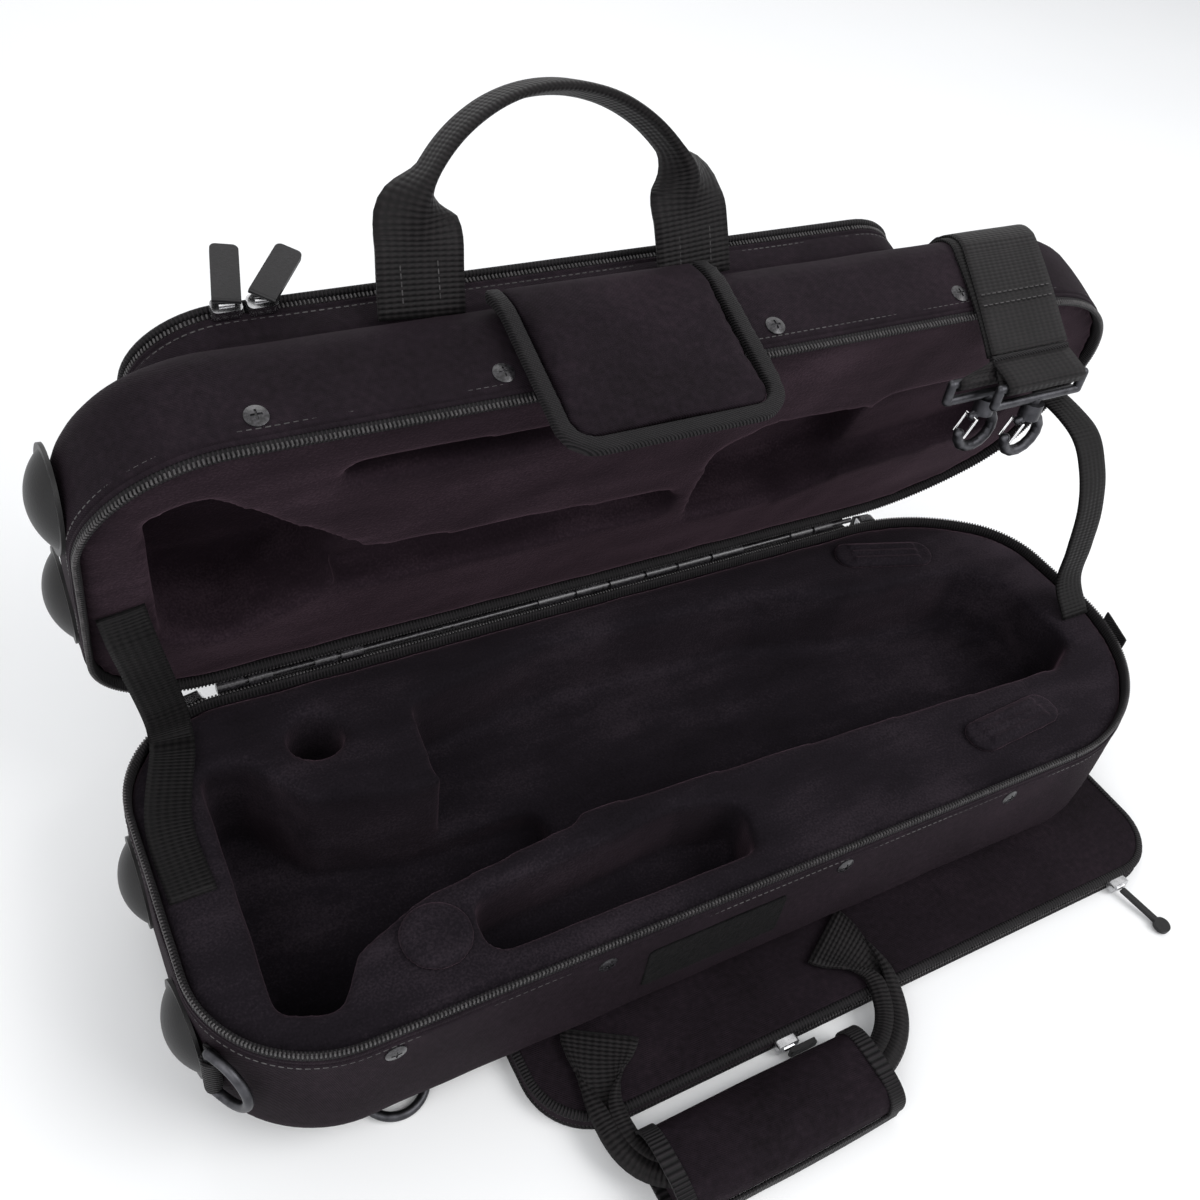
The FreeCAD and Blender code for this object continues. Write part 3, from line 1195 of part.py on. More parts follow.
LEFT_STAY_SHARE = 0.06
LEFT_FOLD_SHARE = 0.82
STAY_FOLD_SHARE = 0.65
STAY_LEAD_SHARE = 0.2
RIGHT_SEAT_SHARE = 0.16
RIGHT_BOW_SHARES = ((0.34, 0.95), (0.17, 0.80), (0.07, 0.60), (0.02, 0.36), (-0.02, 0.14))
stay_straps()


# Shoulder strap laid over the lid, with two snap hooks on its end

STRAP_SEAT = GAP + cell("strap_thickness") / 2
STRAP_MIDDLE = STRAP_SEAT + cell("screw_head_height")
STRAP_END_Z = LID_RIM - cell("strap_reach")
LOOP_RADIUS = cell("buckle_wire") + cell("running_gap") + cell("strap_thickness") / 2
STRAP_BEND_TURNS = (90, 72, 54, 36, 18, 0)


def strap_end_place():
    """The knuckle past the lid's rim where the strap's ends bend and hang, as the lid stands open."""
    return lid_point(cell("strap_end_x"), WALL_FRONT - STRAP_MIDDLE, STRAP_END_Z)


def shoulder_strap():
    """The doubled webbing on the lid: from its back, over its front edge and out past its rim."""
    radius = float(cell("lid_edge_radius") + STRAP_SEAT)
    front_y, rim_z = float(WALL_FRONT - STRAP_MIDDLE), float(LID_RIM)
    start_z, end_z = float(LID_TOP), float(STRAP_END_Z)
    slant = float(cell("strap_end_x") - cell("strap_top_x")) / (start_z - end_z)
    centre_y, centre_z = float(FLAP_BEND_Y), float(FLAP_BEND_Z)
    top_x = float(cell("strap_top_x"))
    stations = [FreeCAD.Vector(top_x, float(cell("strap_back_y")), centre_z + radius)]
    for degrees in STRAP_BEND_TURNS:
        turn = math.radians(degrees)
        z = centre_z + radius * math.sin(turn)
        x = top_x + slant * max(0.0, start_z - z)
        stations.append(FreeCAD.Vector(x, centre_y - radius * math.cos(turn), z))
    foot = end_z + float(cell("strap_thickness")) / 2 + float(GAP)
    for z in (rim_z, foot):
        stations.append(FreeCAD.Vector(top_x + slant * (start_z - z), front_y, z))
    solid_node("shoulder_webbing", strip(stations, float(cell("strap_width")), float(cell("strap_thickness"))),
               LID_OPEN)


def buckle_place(index):
    """A ring's upper bar below the knuckle: the front ring is 0, the one behind it is 1."""
    forward = float(cell("buckle_forward")) + (1 - index) * float(cell("buckle_spacing"))
    return FreeCAD.Vector(-index * float(cell("buckle_shift")), -forward, -float(cell("buckle_drop")))


def strap_end():
    """Both ends of the strap below the knuckle, each folded round the bar of its ring."""
    width, layer = float(cell("strap_width")), float(cell("strap_thickness")) / 2
    shape = Part.makeCylinder(layer, width, FreeCAD.Vector(-width / 2, 0, 0), X_AXIS)
    bars = [buckle_place(index) for index in (0, 1)]
    for bar in bars:
        loop_start = bar - X_AXIS * (width / 2)
        shape = shape.fuse(Part.makeCylinder(float(LOOP_RADIUS), width, loop_start, X_AXIS))
        down = FreeCAD.Vector(0, bar.y, bar.z)
        side = X_AXIS.cross(down).normalize() * (layer / 2)
        left = max(-width / 2, bar.x - width / 2)
        right = min(width / 2, bar.x + width / 2)
        corners = [side, down + side, down - side, -side]
        face = Part.Face(Part.makePolygon(corners + corners[:1]))
        face.translate(FreeCAD.Vector(left, 0, 0))
        shape = shape.fuse(face.extrude(FreeCAD.Vector(right - left, 0, 0)))
    for bar in bars:
        bore_start = bar - X_AXIS * width
        shape = shape.cut(Part.makeCylinder(float(cell("buckle_wire") + cell("running_gap")), 2 * width,
                                            bore_start, X_AXIS))
    solid_node("strap_end_webbing", shape.removeSplitter(), STRAP_END)


STEM_SHARE = 0.5
STOP_SHARE = 0.8


def buckle_shape():
    """A rectangular ring of round wire with its upper bar on the X axis, and the stem of its swivel."""
    wire, height = float(cell("buckle_wire")), float(cell("buckle_height"))
    half = float(cell("strap_width")) / 2 + wire + float(GAP)
    shape = Part.makeSphere(wire, FreeCAD.Vector(-half, 0, 0))
    for z in (0.0, -height):
        shape = shape.fuse(Part.makeCylinder(wire, 2 * half, FreeCAD.Vector(-half, 0, z), X_AXIS))
    for x in (-half, half):
        shape = shape.fuse(Part.makeCylinder(wire, height, FreeCAD.Vector(x, 0, -height), Z_AXIS))
        for z in (0.0, -height):
            shape = shape.fuse(Part.makeSphere(wire, FreeCAD.Vector(x, 0, z)))
    stem_end = -height - float(cell("swivel_length"))
    stem = Part.makeCylinder(float(cell("swivel_radius")) * STEM_SHARE, -height - stem_end,
                             FreeCAD.Vector(0, 0, stem_end), Z_AXIS)
    stop = Part.makeCylinder(float(cell("swivel_radius")) * STOP_SHARE, wire,
                             FreeCAD.Vector(0, 0, stem_end - wire), Z_AXIS)
    return shape.fuse(stem).fuse(stop).removeSplitter()


HOOK_TURNS = (70, 45, 20, -5, -30, -55, -80, -105, -130, -155, -175)
PIN_TURN = 125
LUG_SHARE = 0.8


def hook_shape():
    """A swivel barrel with a bow under it, open on its left where the gate closes it."""
    radius, length = float(cell("swivel_radius")), float(cell("swivel_length"))
    wire, bar_wire = float(cell("hook_wire")), float(cell("buckle_wire"))
    fit, gap = float(cell("running_gap")), float(GAP)
    top = -float(cell("buckle_height"))
    stem_end = top - length
    cup_bottom = stem_end - bar_wire - fit - wire
    barrel_top = top - bar_wire - gap
    barrel = Part.makeCylinder(radius, barrel_top - cup_bottom, FreeCAD.Vector(0, 0, cup_bottom), Z_AXIS)
    stem_hole = Part.makeCylinder(radius * STEM_SHARE + fit, length, FreeCAD.Vector(0, 0, stem_end), Z_AXIS)
    stop_room = Part.makeCylinder(radius * STOP_SHARE + fit, bar_wire + 2 * fit,
                                  FreeCAD.Vector(0, 0, stem_end - bar_wire - fit), Z_AXIS)
    bow_radius = float(cell("hook_radius"))
    centre = FreeCAD.Vector(0, 0, cup_bottom - float(cell("hook_neck")) - bow_radius + wire)

    def on(degrees):
        turn = math.radians(degrees)
        return centre + FreeCAD.Vector(bow_radius * math.cos(turn), 0, bow_radius * math.sin(turn))

    places = [on(degrees) for degrees in HOOK_TURNS]
    shape = barrel
    route = [FreeCAD.Vector(0, 0, cup_bottom + wire / 2)] + places
    for start, end in zip(route, route[1:]):
        along = end - start
        shape = shape.fuse(Part.makeCylinder(wire, along.Length, start, along))
        shape = shape.fuse(Part.makeSphere(wire, end))
    pin = on(PIN_TURN)
    lug = pin - route[0]
    lug_radius = wire * LUG_SHARE
    shape = shape.fuse(Part.makeCylinder(lug_radius, lug.Length, route[0], lug))
    shape = shape.fuse(Part.makeSphere(lug_radius, pin))
    pin_hole = Part.makeCylinder(float(cell("gate_wire")) + fit, 2 * wire, pin - Y_AXIS * wire, Y_AXIS)
    shape = shape.cut(stem_hole).cut(stop_room).cut(pin_hole)
    return shape, pin, places[-1]


HOOK_SHAPE, GATE_PIN, HOOK_TIP = hook_shape()


def gate_shape():
    """Two parallel wires from the pin below the barrel to the hook's tip."""
    wire = float(cell("gate_wire"))
    lift = float(cell("hook_wire")) + wire + float(GAP)
    start, end = GATE_PIN, HOOK_TIP
    along = end - start
    shape = Part.makeCylinder(wire, 2 * lift, start - FreeCAD.Vector(0, lift, 0), Y_AXIS)
    for side in (-1, 1):
        offset = FreeCAD.Vector(0, side * lift, 0)
        shape = shape.fuse(Part.makeCylinder(wire, along.Length, start + offset, along))
        shape = shape.fuse(Part.makeSphere(wire, start + offset))
        shape = shape.fuse(Part.makeSphere(wire, end + offset))
    return shape.removeSplitter()


def snap_hooks():
    rings = []
    for index, side in enumerate(("front", "back")):
        place = STRAP_END * FreeCAD.Placement(buckle_place(index), FreeCAD.Rotation())
        ring = buckle_shape()
        ring.Placement = place
        rings.append(ring)
        solid_node("snap_hook_" + side, HOOK_SHAPE.removeSplitter(), place)
        solid_node("hook_gate_" + side, gate_shape(), place)
    solid_node("strap_rings", Part.makeCompound(rings))


STRAP_END = FreeCAD.Placement(strap_end_place(), FreeCAD.Rotation())
shoulder_strap()
strap_end()
snap_hooks()


# Check and write every sub-part

doc.recompute()
for item in doc.Objects:
    bad = [word for word in item.State if word in ("Invalid", "Error")]
    assert not bad, "%s is %s" % (item.Label, bad)
os.makedirs("parts", exist_ok=True)
faulty = [item.Label for item in nodes
          if item.Shape.isNull() or not item.Shape.isValid() or item.Shape.Volume <= 0]
for item in nodes:
    if item.Label not in faulty:
        item.Shape.exportStep("parts/%s.step" % item.Label)
assert not faulty, "null, invalid or empty: %s" % faulty
print("sub-parts written:", len(nodes))
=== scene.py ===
import math
import bmesh
import bpy
from mathutils import Matrix, Vector, noise


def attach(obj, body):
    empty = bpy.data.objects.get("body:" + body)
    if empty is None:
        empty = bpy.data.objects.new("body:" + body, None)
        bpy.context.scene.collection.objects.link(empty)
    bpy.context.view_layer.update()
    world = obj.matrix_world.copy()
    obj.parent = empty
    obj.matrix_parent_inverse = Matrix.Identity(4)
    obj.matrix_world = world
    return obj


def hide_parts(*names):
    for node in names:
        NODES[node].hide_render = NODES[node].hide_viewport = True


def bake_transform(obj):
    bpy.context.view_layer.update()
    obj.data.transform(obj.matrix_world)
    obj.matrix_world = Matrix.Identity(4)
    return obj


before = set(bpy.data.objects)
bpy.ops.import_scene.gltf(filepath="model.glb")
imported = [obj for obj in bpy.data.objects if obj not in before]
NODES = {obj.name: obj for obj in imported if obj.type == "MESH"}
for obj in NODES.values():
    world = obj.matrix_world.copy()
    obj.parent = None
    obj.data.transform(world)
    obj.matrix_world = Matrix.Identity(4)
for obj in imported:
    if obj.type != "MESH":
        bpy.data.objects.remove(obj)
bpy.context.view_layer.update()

SCENE = bpy.context.scene
MM = 0.001

# Sizes of the case, in millimetres, as in its construction

HALF_LENGTH, HALF_WIDTH = 272.5, 100.0
FLOOR, TRAY_FACE = 10.3, 82.3
LID_RIM, LID_FACE, LID_TOP = 87.7, 91.7, 143.7
TRAY_EDGE, LID_EDGE, WALL = 20.0, 22.0, 2.5

# The lid is shaped closed, and LID turns it about the hinge to the rest pose

HINGE = Vector((0, 103, 87))
LID_OPEN = 69
LID = (Matrix.Translation(HINGE) @ Matrix.Rotation(math.radians(-LID_OPEN), 4, "X")
       @ Matrix.Translation(-HINGE))
PLAIN = Matrix.Identity(4)

# The outline's corner radii; the right back corner is a haunch that runs into a nose

NOSE, HAUNCH, RUN_END, NOSE_Y = 50.0, 127.03, 175.5, 34.0
FRONT_LEFT, BACK_LEFT, FRONT_RIGHT = 60.0, 56.0, 98.0

# The pockets: left, front, right, back and corner radius, and the run where the lower one is open

POCKET_BASE = LID_TOP + 0.3
POCKET = (-235.5, -82.0, 153.0, 84.0, 40.0)
POCKET_RISE, POCKET_ZIP, PANEL_THICK = 17.0, 3.0, 3.0
MUSIC = (-142.5, -138.0, 247.5, 90.0, 32.0)
MOUTH = (-20.0, 208.0)

# Webbing and sewing

WEB_WIDTH = 37.0
STAY_WIDTH, STAY_THICK = 20.0, 1.4
STRAP_X, STRAP_END_X, STRAP_WIDTH = 178.0, 146.0, 48.0
STRAP_END_Z = LID_RIM - 26.0
STRAP_KNUCKLE = LID @ Vector((STRAP_END_X, -HALF_WIDTH - 0.3 - 1.5 - 1.6, STRAP_END_Z))
TOOTH_PITCH, STITCH_PITCH = 1.75, 3.4
OUTLINE_STEP = 4.0

# The pitch in metres of the wave texture's bands at a scale of 1, by their direction

BAND_PITCH = {"X": 0.31416, "Y": 0.31416, "DIAGONAL": 0.6283}


# Finishes

class Finish:
    """A material on one shader, with short ways to add the nodes that drive it."""

    def __init__(self, name, **shader):
        self.material = bpy.data.materials.new(name)
        self.material.use_nodes = True
        self.tree = self.material.node_tree
        self.shader = self.tree.nodes["Principled BSDF"]
        for socket, value in shader.items():
            label = socket.replace("_", " ").title().replace("Ior", "IOR")
            self.shader.inputs[label].default_value = value

    def node(self, kind, settings=(), inputs=()):
        made = self.tree.nodes.new(kind)
        for key, value in dict(settings).items():
            setattr(made, key, value)
        for key, value in dict(inputs).items():
            if isinstance(value, bpy.types.NodeSocket):
                self.tree.links.new(value, made.inputs[key])
            else:
                made.inputs[key].default_value = value
        return made

    def coordinates(self, by_surface=False, stretch=(1, 1, 1)):
        source = self.node("ShaderNodeTexCoord").outputs["UV" if by_surface else "Object"]
        scaled = self.node("ShaderNodeMapping", (), {"Vector": source, "Scale": stretch})
        return scaled.outputs["Vector"]

    def cloud(self, vector, scale, detail=3.0, rough=0.55):
        inputs = {"Vector": vector, "Scale": scale, "Detail": detail, "Roughness": rough}
        return self.node("ShaderNodeTexNoise", (), inputs).outputs["Fac"]

    def ribs(self, vector, pitch, direction="X", wander=0.0):
        """Parallel ribs, one in each pitch in metres."""
        inputs = {"Vector": vector, "Scale": BAND_PITCH[direction] / pitch, "Distortion": wander}
        return self.node("ShaderNodeTexWave", {"bands_direction": direction}, inputs).outputs["Fac"]

    def sum(self, a, b, share=0.5):
        mixed = self.node("ShaderNodeMix", {"data_type": "FLOAT"}, {"Factor": share})
        self.tree.links.new(a, mixed.inputs[2])
        self.tree.links.new(b, mixed.inputs[3])
        return mixed.outputs[0]

    def shades(self, factor, stops):
        ramp = self.node("ShaderNodeValToRGB", (), {"Fac": factor})
        while len(ramp.color_ramp.elements) < len(stops):
            ramp.color_ramp.elements.new(0.5)
        for element, (place, colour) in zip(ramp.color_ramp.elements, stops):
            element.position = place
            element.color = (*colour, 1)
        self.tree.links.new(ramp.outputs["Color"], self.shader.inputs["Base Color"])

    def gloss(self, factor, low, high):
        spread = self.node("ShaderNodeMapRange", (), {"Value": factor, "To Min": low, "To Max": high})
        self.tree.links.new(spread.outputs["Result"], self.shader.inputs["Roughness"])

    def relief(self, height, depth, strength, under=None):
        """Bumps of a depth in metres, over those that under gives."""
        inputs = {"Height": height, "Distance": depth, "Strength": strength}
        if under is not None:
            inputs["Normal"] = under
        bump = self.node("ShaderNodeBump", (), inputs)
        self.tree.links.new(bump.outputs["Normal"], self.shader.inputs["Normal"])
        return bump.outputs["Normal"]


def tone(r, g, b):
    """A colour given as it looks on screen, from 0 to 255."""
    return tuple(((v / 255 + 0.055) / 1.055) ** 2.4 if v > 10 else v / 255 / 12.92
                 for v in (r, g, b))


def twill_cloth(name, by_surface):
    cloth = Finish(name, roughness=0.72, sheen_weight=0.05, sheen_roughness=0.5,
                   specular_ior_level=0.05)
    cloth.shader.inputs["Sheen Tint"].default_value = (*tone(130, 112, 122), 1)
    place = cloth.coordinates(by_surface)
    weave = cloth.ribs(place, 0.0013, "DIAGONAL", 0.6)
    rows = cloth.ribs(place, 0.0009, "Y", 0.4)
    both = cloth.sum(weave, rows, 0.35)
    drift = cloth.sum(cloth.cloud(place, 14.0, 4.0), cloth.cloud(place, 320.0, 2.0), 0.4)
    cloth.shades(drift, ((0.30, tone(17, 13, 16)), (0.52, tone(29, 23, 28)), (0.78, tone(44, 35, 41))))
    cloth.gloss(both, 0.62, 0.82)
    under = cloth.relief(cloth.cloud(place, 60.0, 3.0), 0.0012, 0.25)
    cloth.relief(both, 0.00035, 0.5, under)
    return cloth.material


def brushed_velour(name, deep, mid, lit):
    pile = Finish(name, roughness=0.95, sheen_weight=0.35, sheen_roughness=0.35,
                  specular_ior_level=0.1)
    pile.shader.inputs["Sheen Tint"].default_value = (*tone(150, 120, 135), 1)
    place = pile.coordinates()
    strokes = pile.cloud(pile.coordinates(stretch=(0.35, 1.0, 1.0)), 38.0, 5.0, 0.6)
    patches = pile.sum(strokes, pile.cloud(place, 9.0, 3.0), 0.45)
    grain = pile.cloud(place, 900.0, 2.0)
    pile.shades(pile.sum(patches, grain, 0.3), ((0.34, deep), (0.50, mid), (0.68, lit)))
    under = pile.relief(strokes, 0.0011, 0.35)
    pile.relief(grain, 0.0005, 0.6, under)
    return pile.material


def ribbed_webbing(name, painted_light=1.0):
    webbing = Finish(name, roughness=0.6, sheen_weight=0.02, specular_ior_level=0.14)
    place = webbing.coordinates(True)
    across = webbing.ribs(place, 0.0021, "X", 0.3)
    rows = webbing.ribs(place, 0.0034, "Y", 0.2)
    cells = webbing.sum(across, rows, 0.4)
    drift = webbing.sum(cells, webbing.cloud(place, 45.0, 4.0), 0.45)
    # The brightness factor scales the webbing's colours; below 1 it darkens them as painted shade
    shade = [tone(*(v * painted_light for v in c)) for c in ((11, 10, 11), (20, 18, 19), (38, 35, 36))]
    webbing.shades(drift, ((0.25, shade[0]), (0.52, shade[1]), (0.85, shade[2])))
    webbing.gloss(cells, 0.48, 0.72)
    under = webbing.relief(webbing.cloud(place, 70.0, 2.0), 0.0008, 0.2)
    webbing.relief(cells, 0.0006, 0.7, under)
    return webbing.material


def grosgrain(name, by_surface=True):
    tape = Finish(name, roughness=0.65, sheen_weight=0.02, specular_ior_level=0.14)
    place = tape.coordinates(by_surface)
    cords = tape.ribs(place, 0.0017, "X" if by_surface else "DIAGONAL", 0.2)
    drift = tape.sum(cords, tape.cloud(place, 60.0, 3.0), 0.4)
    tape.shades(drift, ((0.25, tone(11, 11, 12)), (0.55, tone(22, 20, 22)), (0.9, tone(42, 39, 41))))
    tape.gloss(cords, 0.5, 0.75)
    tape.relief(cords, 0.0005, 0.8)
    return tape.material


def fuzzy_loops(name):
    loops = Finish(name, roughness=0.95, sheen_weight=0.02, sheen_roughness=0.6,
                   specular_ior_level=0.05)
    place = loops.coordinates()
    curls = loops.sum(loops.cloud(place, 900.0, 4.0, 0.7), loops.cloud(place, 240.0, 3.0), 0.4)
    loops.shades(curls, ((0.35, tone(4, 4, 5)), (0.52, tone(12, 11, 12)), (0.7, tone(28, 26, 28))))
    loops.relief(curls, 0.0012, 0.9)
    return loops.material


def moulded_rubber(name, lift=1.0):
    rubber = Finish(name, roughness=0.42, specular_ior_level=0.3)
    place = rubber.coordinates()
    haze = rubber.sum(rubber.cloud(place, 30.0, 4.0), rubber.cloud(place, 700.0, 2.0), 0.4)
    shade = [tone(*(v * lift for v in c)) for c in ((10, 10, 11), (17, 16, 17), (27, 26, 28))]
    rubber.shades(haze, ((0.3, shade[0]), (0.55, shade[1]), (0.8, shade[2])))
    rubber.gloss(haze, 0.34, 0.52)
    rubber.relief(rubber.cloud(place, 1400.0, 2.0), 0.0002, 0.35)
    return rubber.material


def metal(name, low, high, smooth, rough):
    grain = 260.0
    plated = Finish(name, metallic=1.0, roughness=smooth)
    place = plated.coordinates()
    wear = plated.sum(plated.cloud(place, 120.0, 4.0), plated.cloud(place, grain, 3.0), 0.5)
    plated.shades(wear, ((0.3, low), (0.65, high)))
    plated.gloss(wear, smooth, rough)
    plated.relief(plated.cloud(place, grain * 4, 2.0), 0.0001, 0.25)
    return plated.material


def screw_lacquer(name):
    black = Finish(name, roughness=0.3, metallic=0.4, coat_weight=0.4, coat_roughness=0.2)
    place = black.coordinates()
    wear = black.cloud(place, 900.0, 3.0)
    black.shades(wear, ((0.4, tone(22, 21, 23)), (0.7, tone(66, 64, 68))))
    black.gloss(wear, 0.24, 0.42)
    return black.material


def coil_plastic(name):
    coil = Finish(name, roughness=0.35, specular_ior_level=0.5)
    drift = coil.cloud(coil.coordinates(), 400.0, 2.0)
    coil.shades(drift, ((0.35, tone(34, 32, 33)), (0.7, tone(70, 67, 68))))
    coil.gloss(drift, 0.3, 0.45)
    return coil.material


def soft_foam(name):
    foam = Finish(name, roughness=0.9)
    cells = foam.cloud(foam.coordinates(), 1200.0, 3.0)
    foam.shades(cells, ((0.3, tone(34, 34, 36)), (0.7, tone(62, 62, 64))))
    foam.relief(cells, 0.0004, 0.6)
    return foam.material


NYLON = twill_cloth("twill_nylon", True)
NYLON_PLAIN = twill_cloth("twill_nylon_plain", False)
VELOUR = brushed_velour("tray_velour", tone(13, 10, 14), tone(27, 23, 28), tone(52, 45, 51))
LID_VELOUR = brushed_velour("lid_velour", tone(17, 10, 15), tone(32, 23, 29), tone(56, 44, 51))
WEBBING = ribbed_webbing("ribbed_webbing")
# A darker copy of the webbing: painted shade for webbing that lies under the strap or between the
# halves
SHADED_WEBBING = ribbed_webbing("painted_shade_webbing", 0.7)
BINDING = grosgrain("grosgrain_binding")
BINDING_PLAIN = grosgrain("grosgrain_plain", False)
LOOPS = fuzzy_loops("hook_and_loop")
RUBBER = moulded_rubber("moulded_rubber")
PULL_RUBBER = moulded_rubber("pull_rubber", 1.5)
NICKEL = metal("plated_nickel", tone(150, 150, 152), tone(215, 215, 217), 0.16, 0.34)
CAST = metal("cast_grey", tone(46, 46, 49), tone(84, 84, 88), 0.32, 0.55)
WIRE = metal("bright_wire", tone(190, 190, 192), tone(240, 240, 241), 0.08, 0.2)
LACQUER = screw_lacquer("screw_lacquer")
COIL = coil_plastic("zip_coil")
FOAM = soft_foam("soft_foam")


# Ways of shaping

def finished(bm, name, finish, body, stands_for=(), crease=None):
    """Turns a bmesh into a named piece that rides on its body."""
    for face in bm.faces:
        face.smooth = True
    if crease is not None:
        for edge in bm.edges:
            if len(edge.link_faces) == 2 and edge.calc_face_angle(0) > math.radians(crease):
                edge.smooth = False
    mesh = bpy.data.meshes.new(name)
    bm.to_mesh(mesh)
    bm.free()
    piece = bpy.data.objects.new(name, mesh)
    SCENE.collection.objects.link(piece)
    mesh.materials.append(finish)
    if body:
        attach(piece, body)
    if stands_for:
        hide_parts(*stands_for)
    return piece


def thickened(piece, thickness):
    shell = piece.modifiers.new("wall", "SOLIDIFY")
    shell.thickness = thickness * MM
    shell.offset = 0.0
    shell.use_even_offset = False
    return piece


def rounded_off(piece):
    smooth = piece.modifiers.new("soft", "SUBSURF")
    smooth.levels = smooth.render_levels = 1
    return piece


def sheet_of(columns, rows, place, loop=False):
    """A grid whose corner (u, v), each from 0 to 1, goes to place(u, v).

    That also gives the corner's cloth coordinates. A loop is joined where it meets itself.
    """
    bm = bmesh.new()
    layer = bm.loops.layers.uv.new("UVMap")
    bmesh.ops.create_grid(bm, x_segments=columns, y_segments=rows, size=0.5)
    where = {}
    for vert in bm.verts:
        u = min(max(vert.co.x + 0.5, 0.0), 1.0)
        v = min(max(vert.co.y + 0.5, 0.0), 1.0)
        where[vert] = place(u, v)
    for face in bm.faces:
        for corner in face.loops:
            corner[layer].uv = where[corner.vert][1]
    for vert, (spot, _) in where.items():
        vert.co = Vector(spot) * MM
    if loop:
        bmesh.ops.remove_doubles(bm, verts=bm.verts, dist=0.02 * MM)
    return bm


def rounded_outline(corners, step):
    """Places round a closed outline: [(x, y, radius, from, to)] joined by straight runs.

    Each place has its point, its outward direction and its distance along the outline.
    """
    places = []
    for index, (x, y, radius, start, end) in enumerate(corners):
        count = max(3, int(math.radians(end - start) * radius / step))
        for part in range(count + 1):
            turn = math.radians(start + (end - start) * part / count)
            out = Vector((math.cos(turn), math.sin(turn)))
            places.append((Vector((x, y)) + out * radius, out))
        next_x, next_y, next_radius, next_start, _ = corners[(index + 1) % len(corners)]
        turn = math.radians(next_start)
        following = Vector((next_x, next_y)) + Vector((math.cos(turn), math.sin(turn))) * next_radius
        last, out = places[-1]
        run = (following - last).length
        for part in range(1, int(run / step)):
            places.append((last.lerp(following, part * step / run), out))
    result, travelled = [], 0.0
    for index, (point, out) in enumerate(places):
        if index:
            travelled += (point - places[index - 1][0]).length
        result.append((point, out, travelled))
    return result, travelled + (places[0][0] - places[-1][0]).length


def case_corners():
    turn = math.degrees(math.atan2(NOSE_Y - HALF_WIDTH + HAUNCH, HALF_LENGTH - NOSE - RUN_END))
    return [(HALF_LENGTH - FRONT_RIGHT, FRONT_RIGHT - HALF_WIDTH, FRONT_RIGHT, 270, 360),
            (HALF_LENGTH - NOSE, NOSE_Y, NOSE, 0, turn),
            (RUN_END, HALF_WIDTH - HAUNCH, HAUNCH, turn, 90),
            (BACK_LEFT - HALF_LENGTH, HALF_WIDTH - BACK_LEFT, BACK_LEFT, 90, 180),
            (FRONT_LEFT - HALF_LENGTH, FRONT_LEFT - HALF_WIDTH, FRONT_LEFT, 180, 270)]


def oblong_corners(left, front, right, back, corner):
    return [(right - corner, front + corner, corner, 270, 360),
            (right - corner, back - corner, corner, 0, 90),
            (left + corner, back - corner, corner, 90, 180),
            (left + corner, front + corner, corner, 180, 270)]


CASE_LINE, CASE_ROUND = rounded_outline(case_corners(), OUTLINE_STEP)
POCKET_LINE, POCKET_ROUND = rounded_outline(oblong_corners(*POCKET), OUTLINE_STEP)
MUSIC_LINE, MUSIC_ROUND = rounded_outline(oblong_corners(*MUSIC), OUTLINE_STEP)


def spot_on(line, length, distance):
    """The point and outward direction at a distance along an outline."""
    distance %= length
    low, high = 0, len(line) - 1
    while low < high:
        middle = (low + high + 1) // 2
        if line[middle][2] <= distance:
            low = middle
        else:
            high = middle - 1
    here, following = line[low], line[(low + 1) % len(line)]
    gap = (following[0] - here[0]).length
    share = (distance - here[2]) / gap if gap > 1e-6 else 0.0
    out = here[1].lerp(following[1], min(share, 1.0)).normalized()
    return here[0].lerp(following[0], min(share, 1.0)), out


def distances_along(profile):
    """How far along a profile each of its points lies."""
    distances = [0.0]
    for (a, b), (c, d) in zip(profile, profile[1:]):
        distances.append(distances[-1] + math.hypot(c - a, d - b))
    return distances


def swept_round(line, length, profile, stance=PLAIN, ripple=0.0, grain=0.03):
    """A wall round an outline from its profile of (outward, up) in millimetres."""
    heights = distances_along(profile)
    count = len(line)

    def place(u, v):
        index = round(u * count) % count
        row = round(v * (len(profile) - 1))
        point, out, along = line[index]
        if round(u * count) == count:
            along = length
        push, up = profile[row]
        spot = Vector((*(point + out * push), up))
        if ripple:
            spot += Vector((*out, 0)) * ripple * noise.noise(spot * grain)
        return stance @ spot, (along * MM, heights[row] * MM)

    return sheet_of(count, len(profile) - 1, place, True)


def lidded(bm):
    """Closes the smaller one of a wall's two open rings with one flat face."""
    loops = []
    left = {edge for edge in bm.edges if edge.is_boundary}
    while left:
        group, stack = set(), [left.pop()]
        while stack:
            edge = stack.pop()
            group.add(edge)
            for vert in edge.verts:
                for other in vert.link_edges:
                    if other in left:
                        left.discard(other)
                        stack.append(other)
        loops.append(group)
    inner = min(loops, key=lambda group: sum(edge.calc_length() for edge in group))
    bmesh.ops.contextual_create(bm, geom=list(inner))


def rolled_profile(out, up, radius, start, end, steps=8):
    """Part of a circle as a profile."""
    turns = [math.radians(start + (end - start) * k / steps) for k in range(steps + 1)]
    return [(out + radius * math.cos(a), up + radius * math.sin(a)) for a in turns]


def evaluated(draft):
    """The mesh of an object with its modifiers, which takes the object's place."""
    mesh = bpy.data.meshes.new_from_object(draft.evaluated_get(bpy.context.evaluated_depsgraph_get()))
    bpy.data.objects.remove(draft)
    bm = bmesh.new()
    bm.from_mesh(mesh)
    bpy.data.meshes.remove(mesh)
    return bm


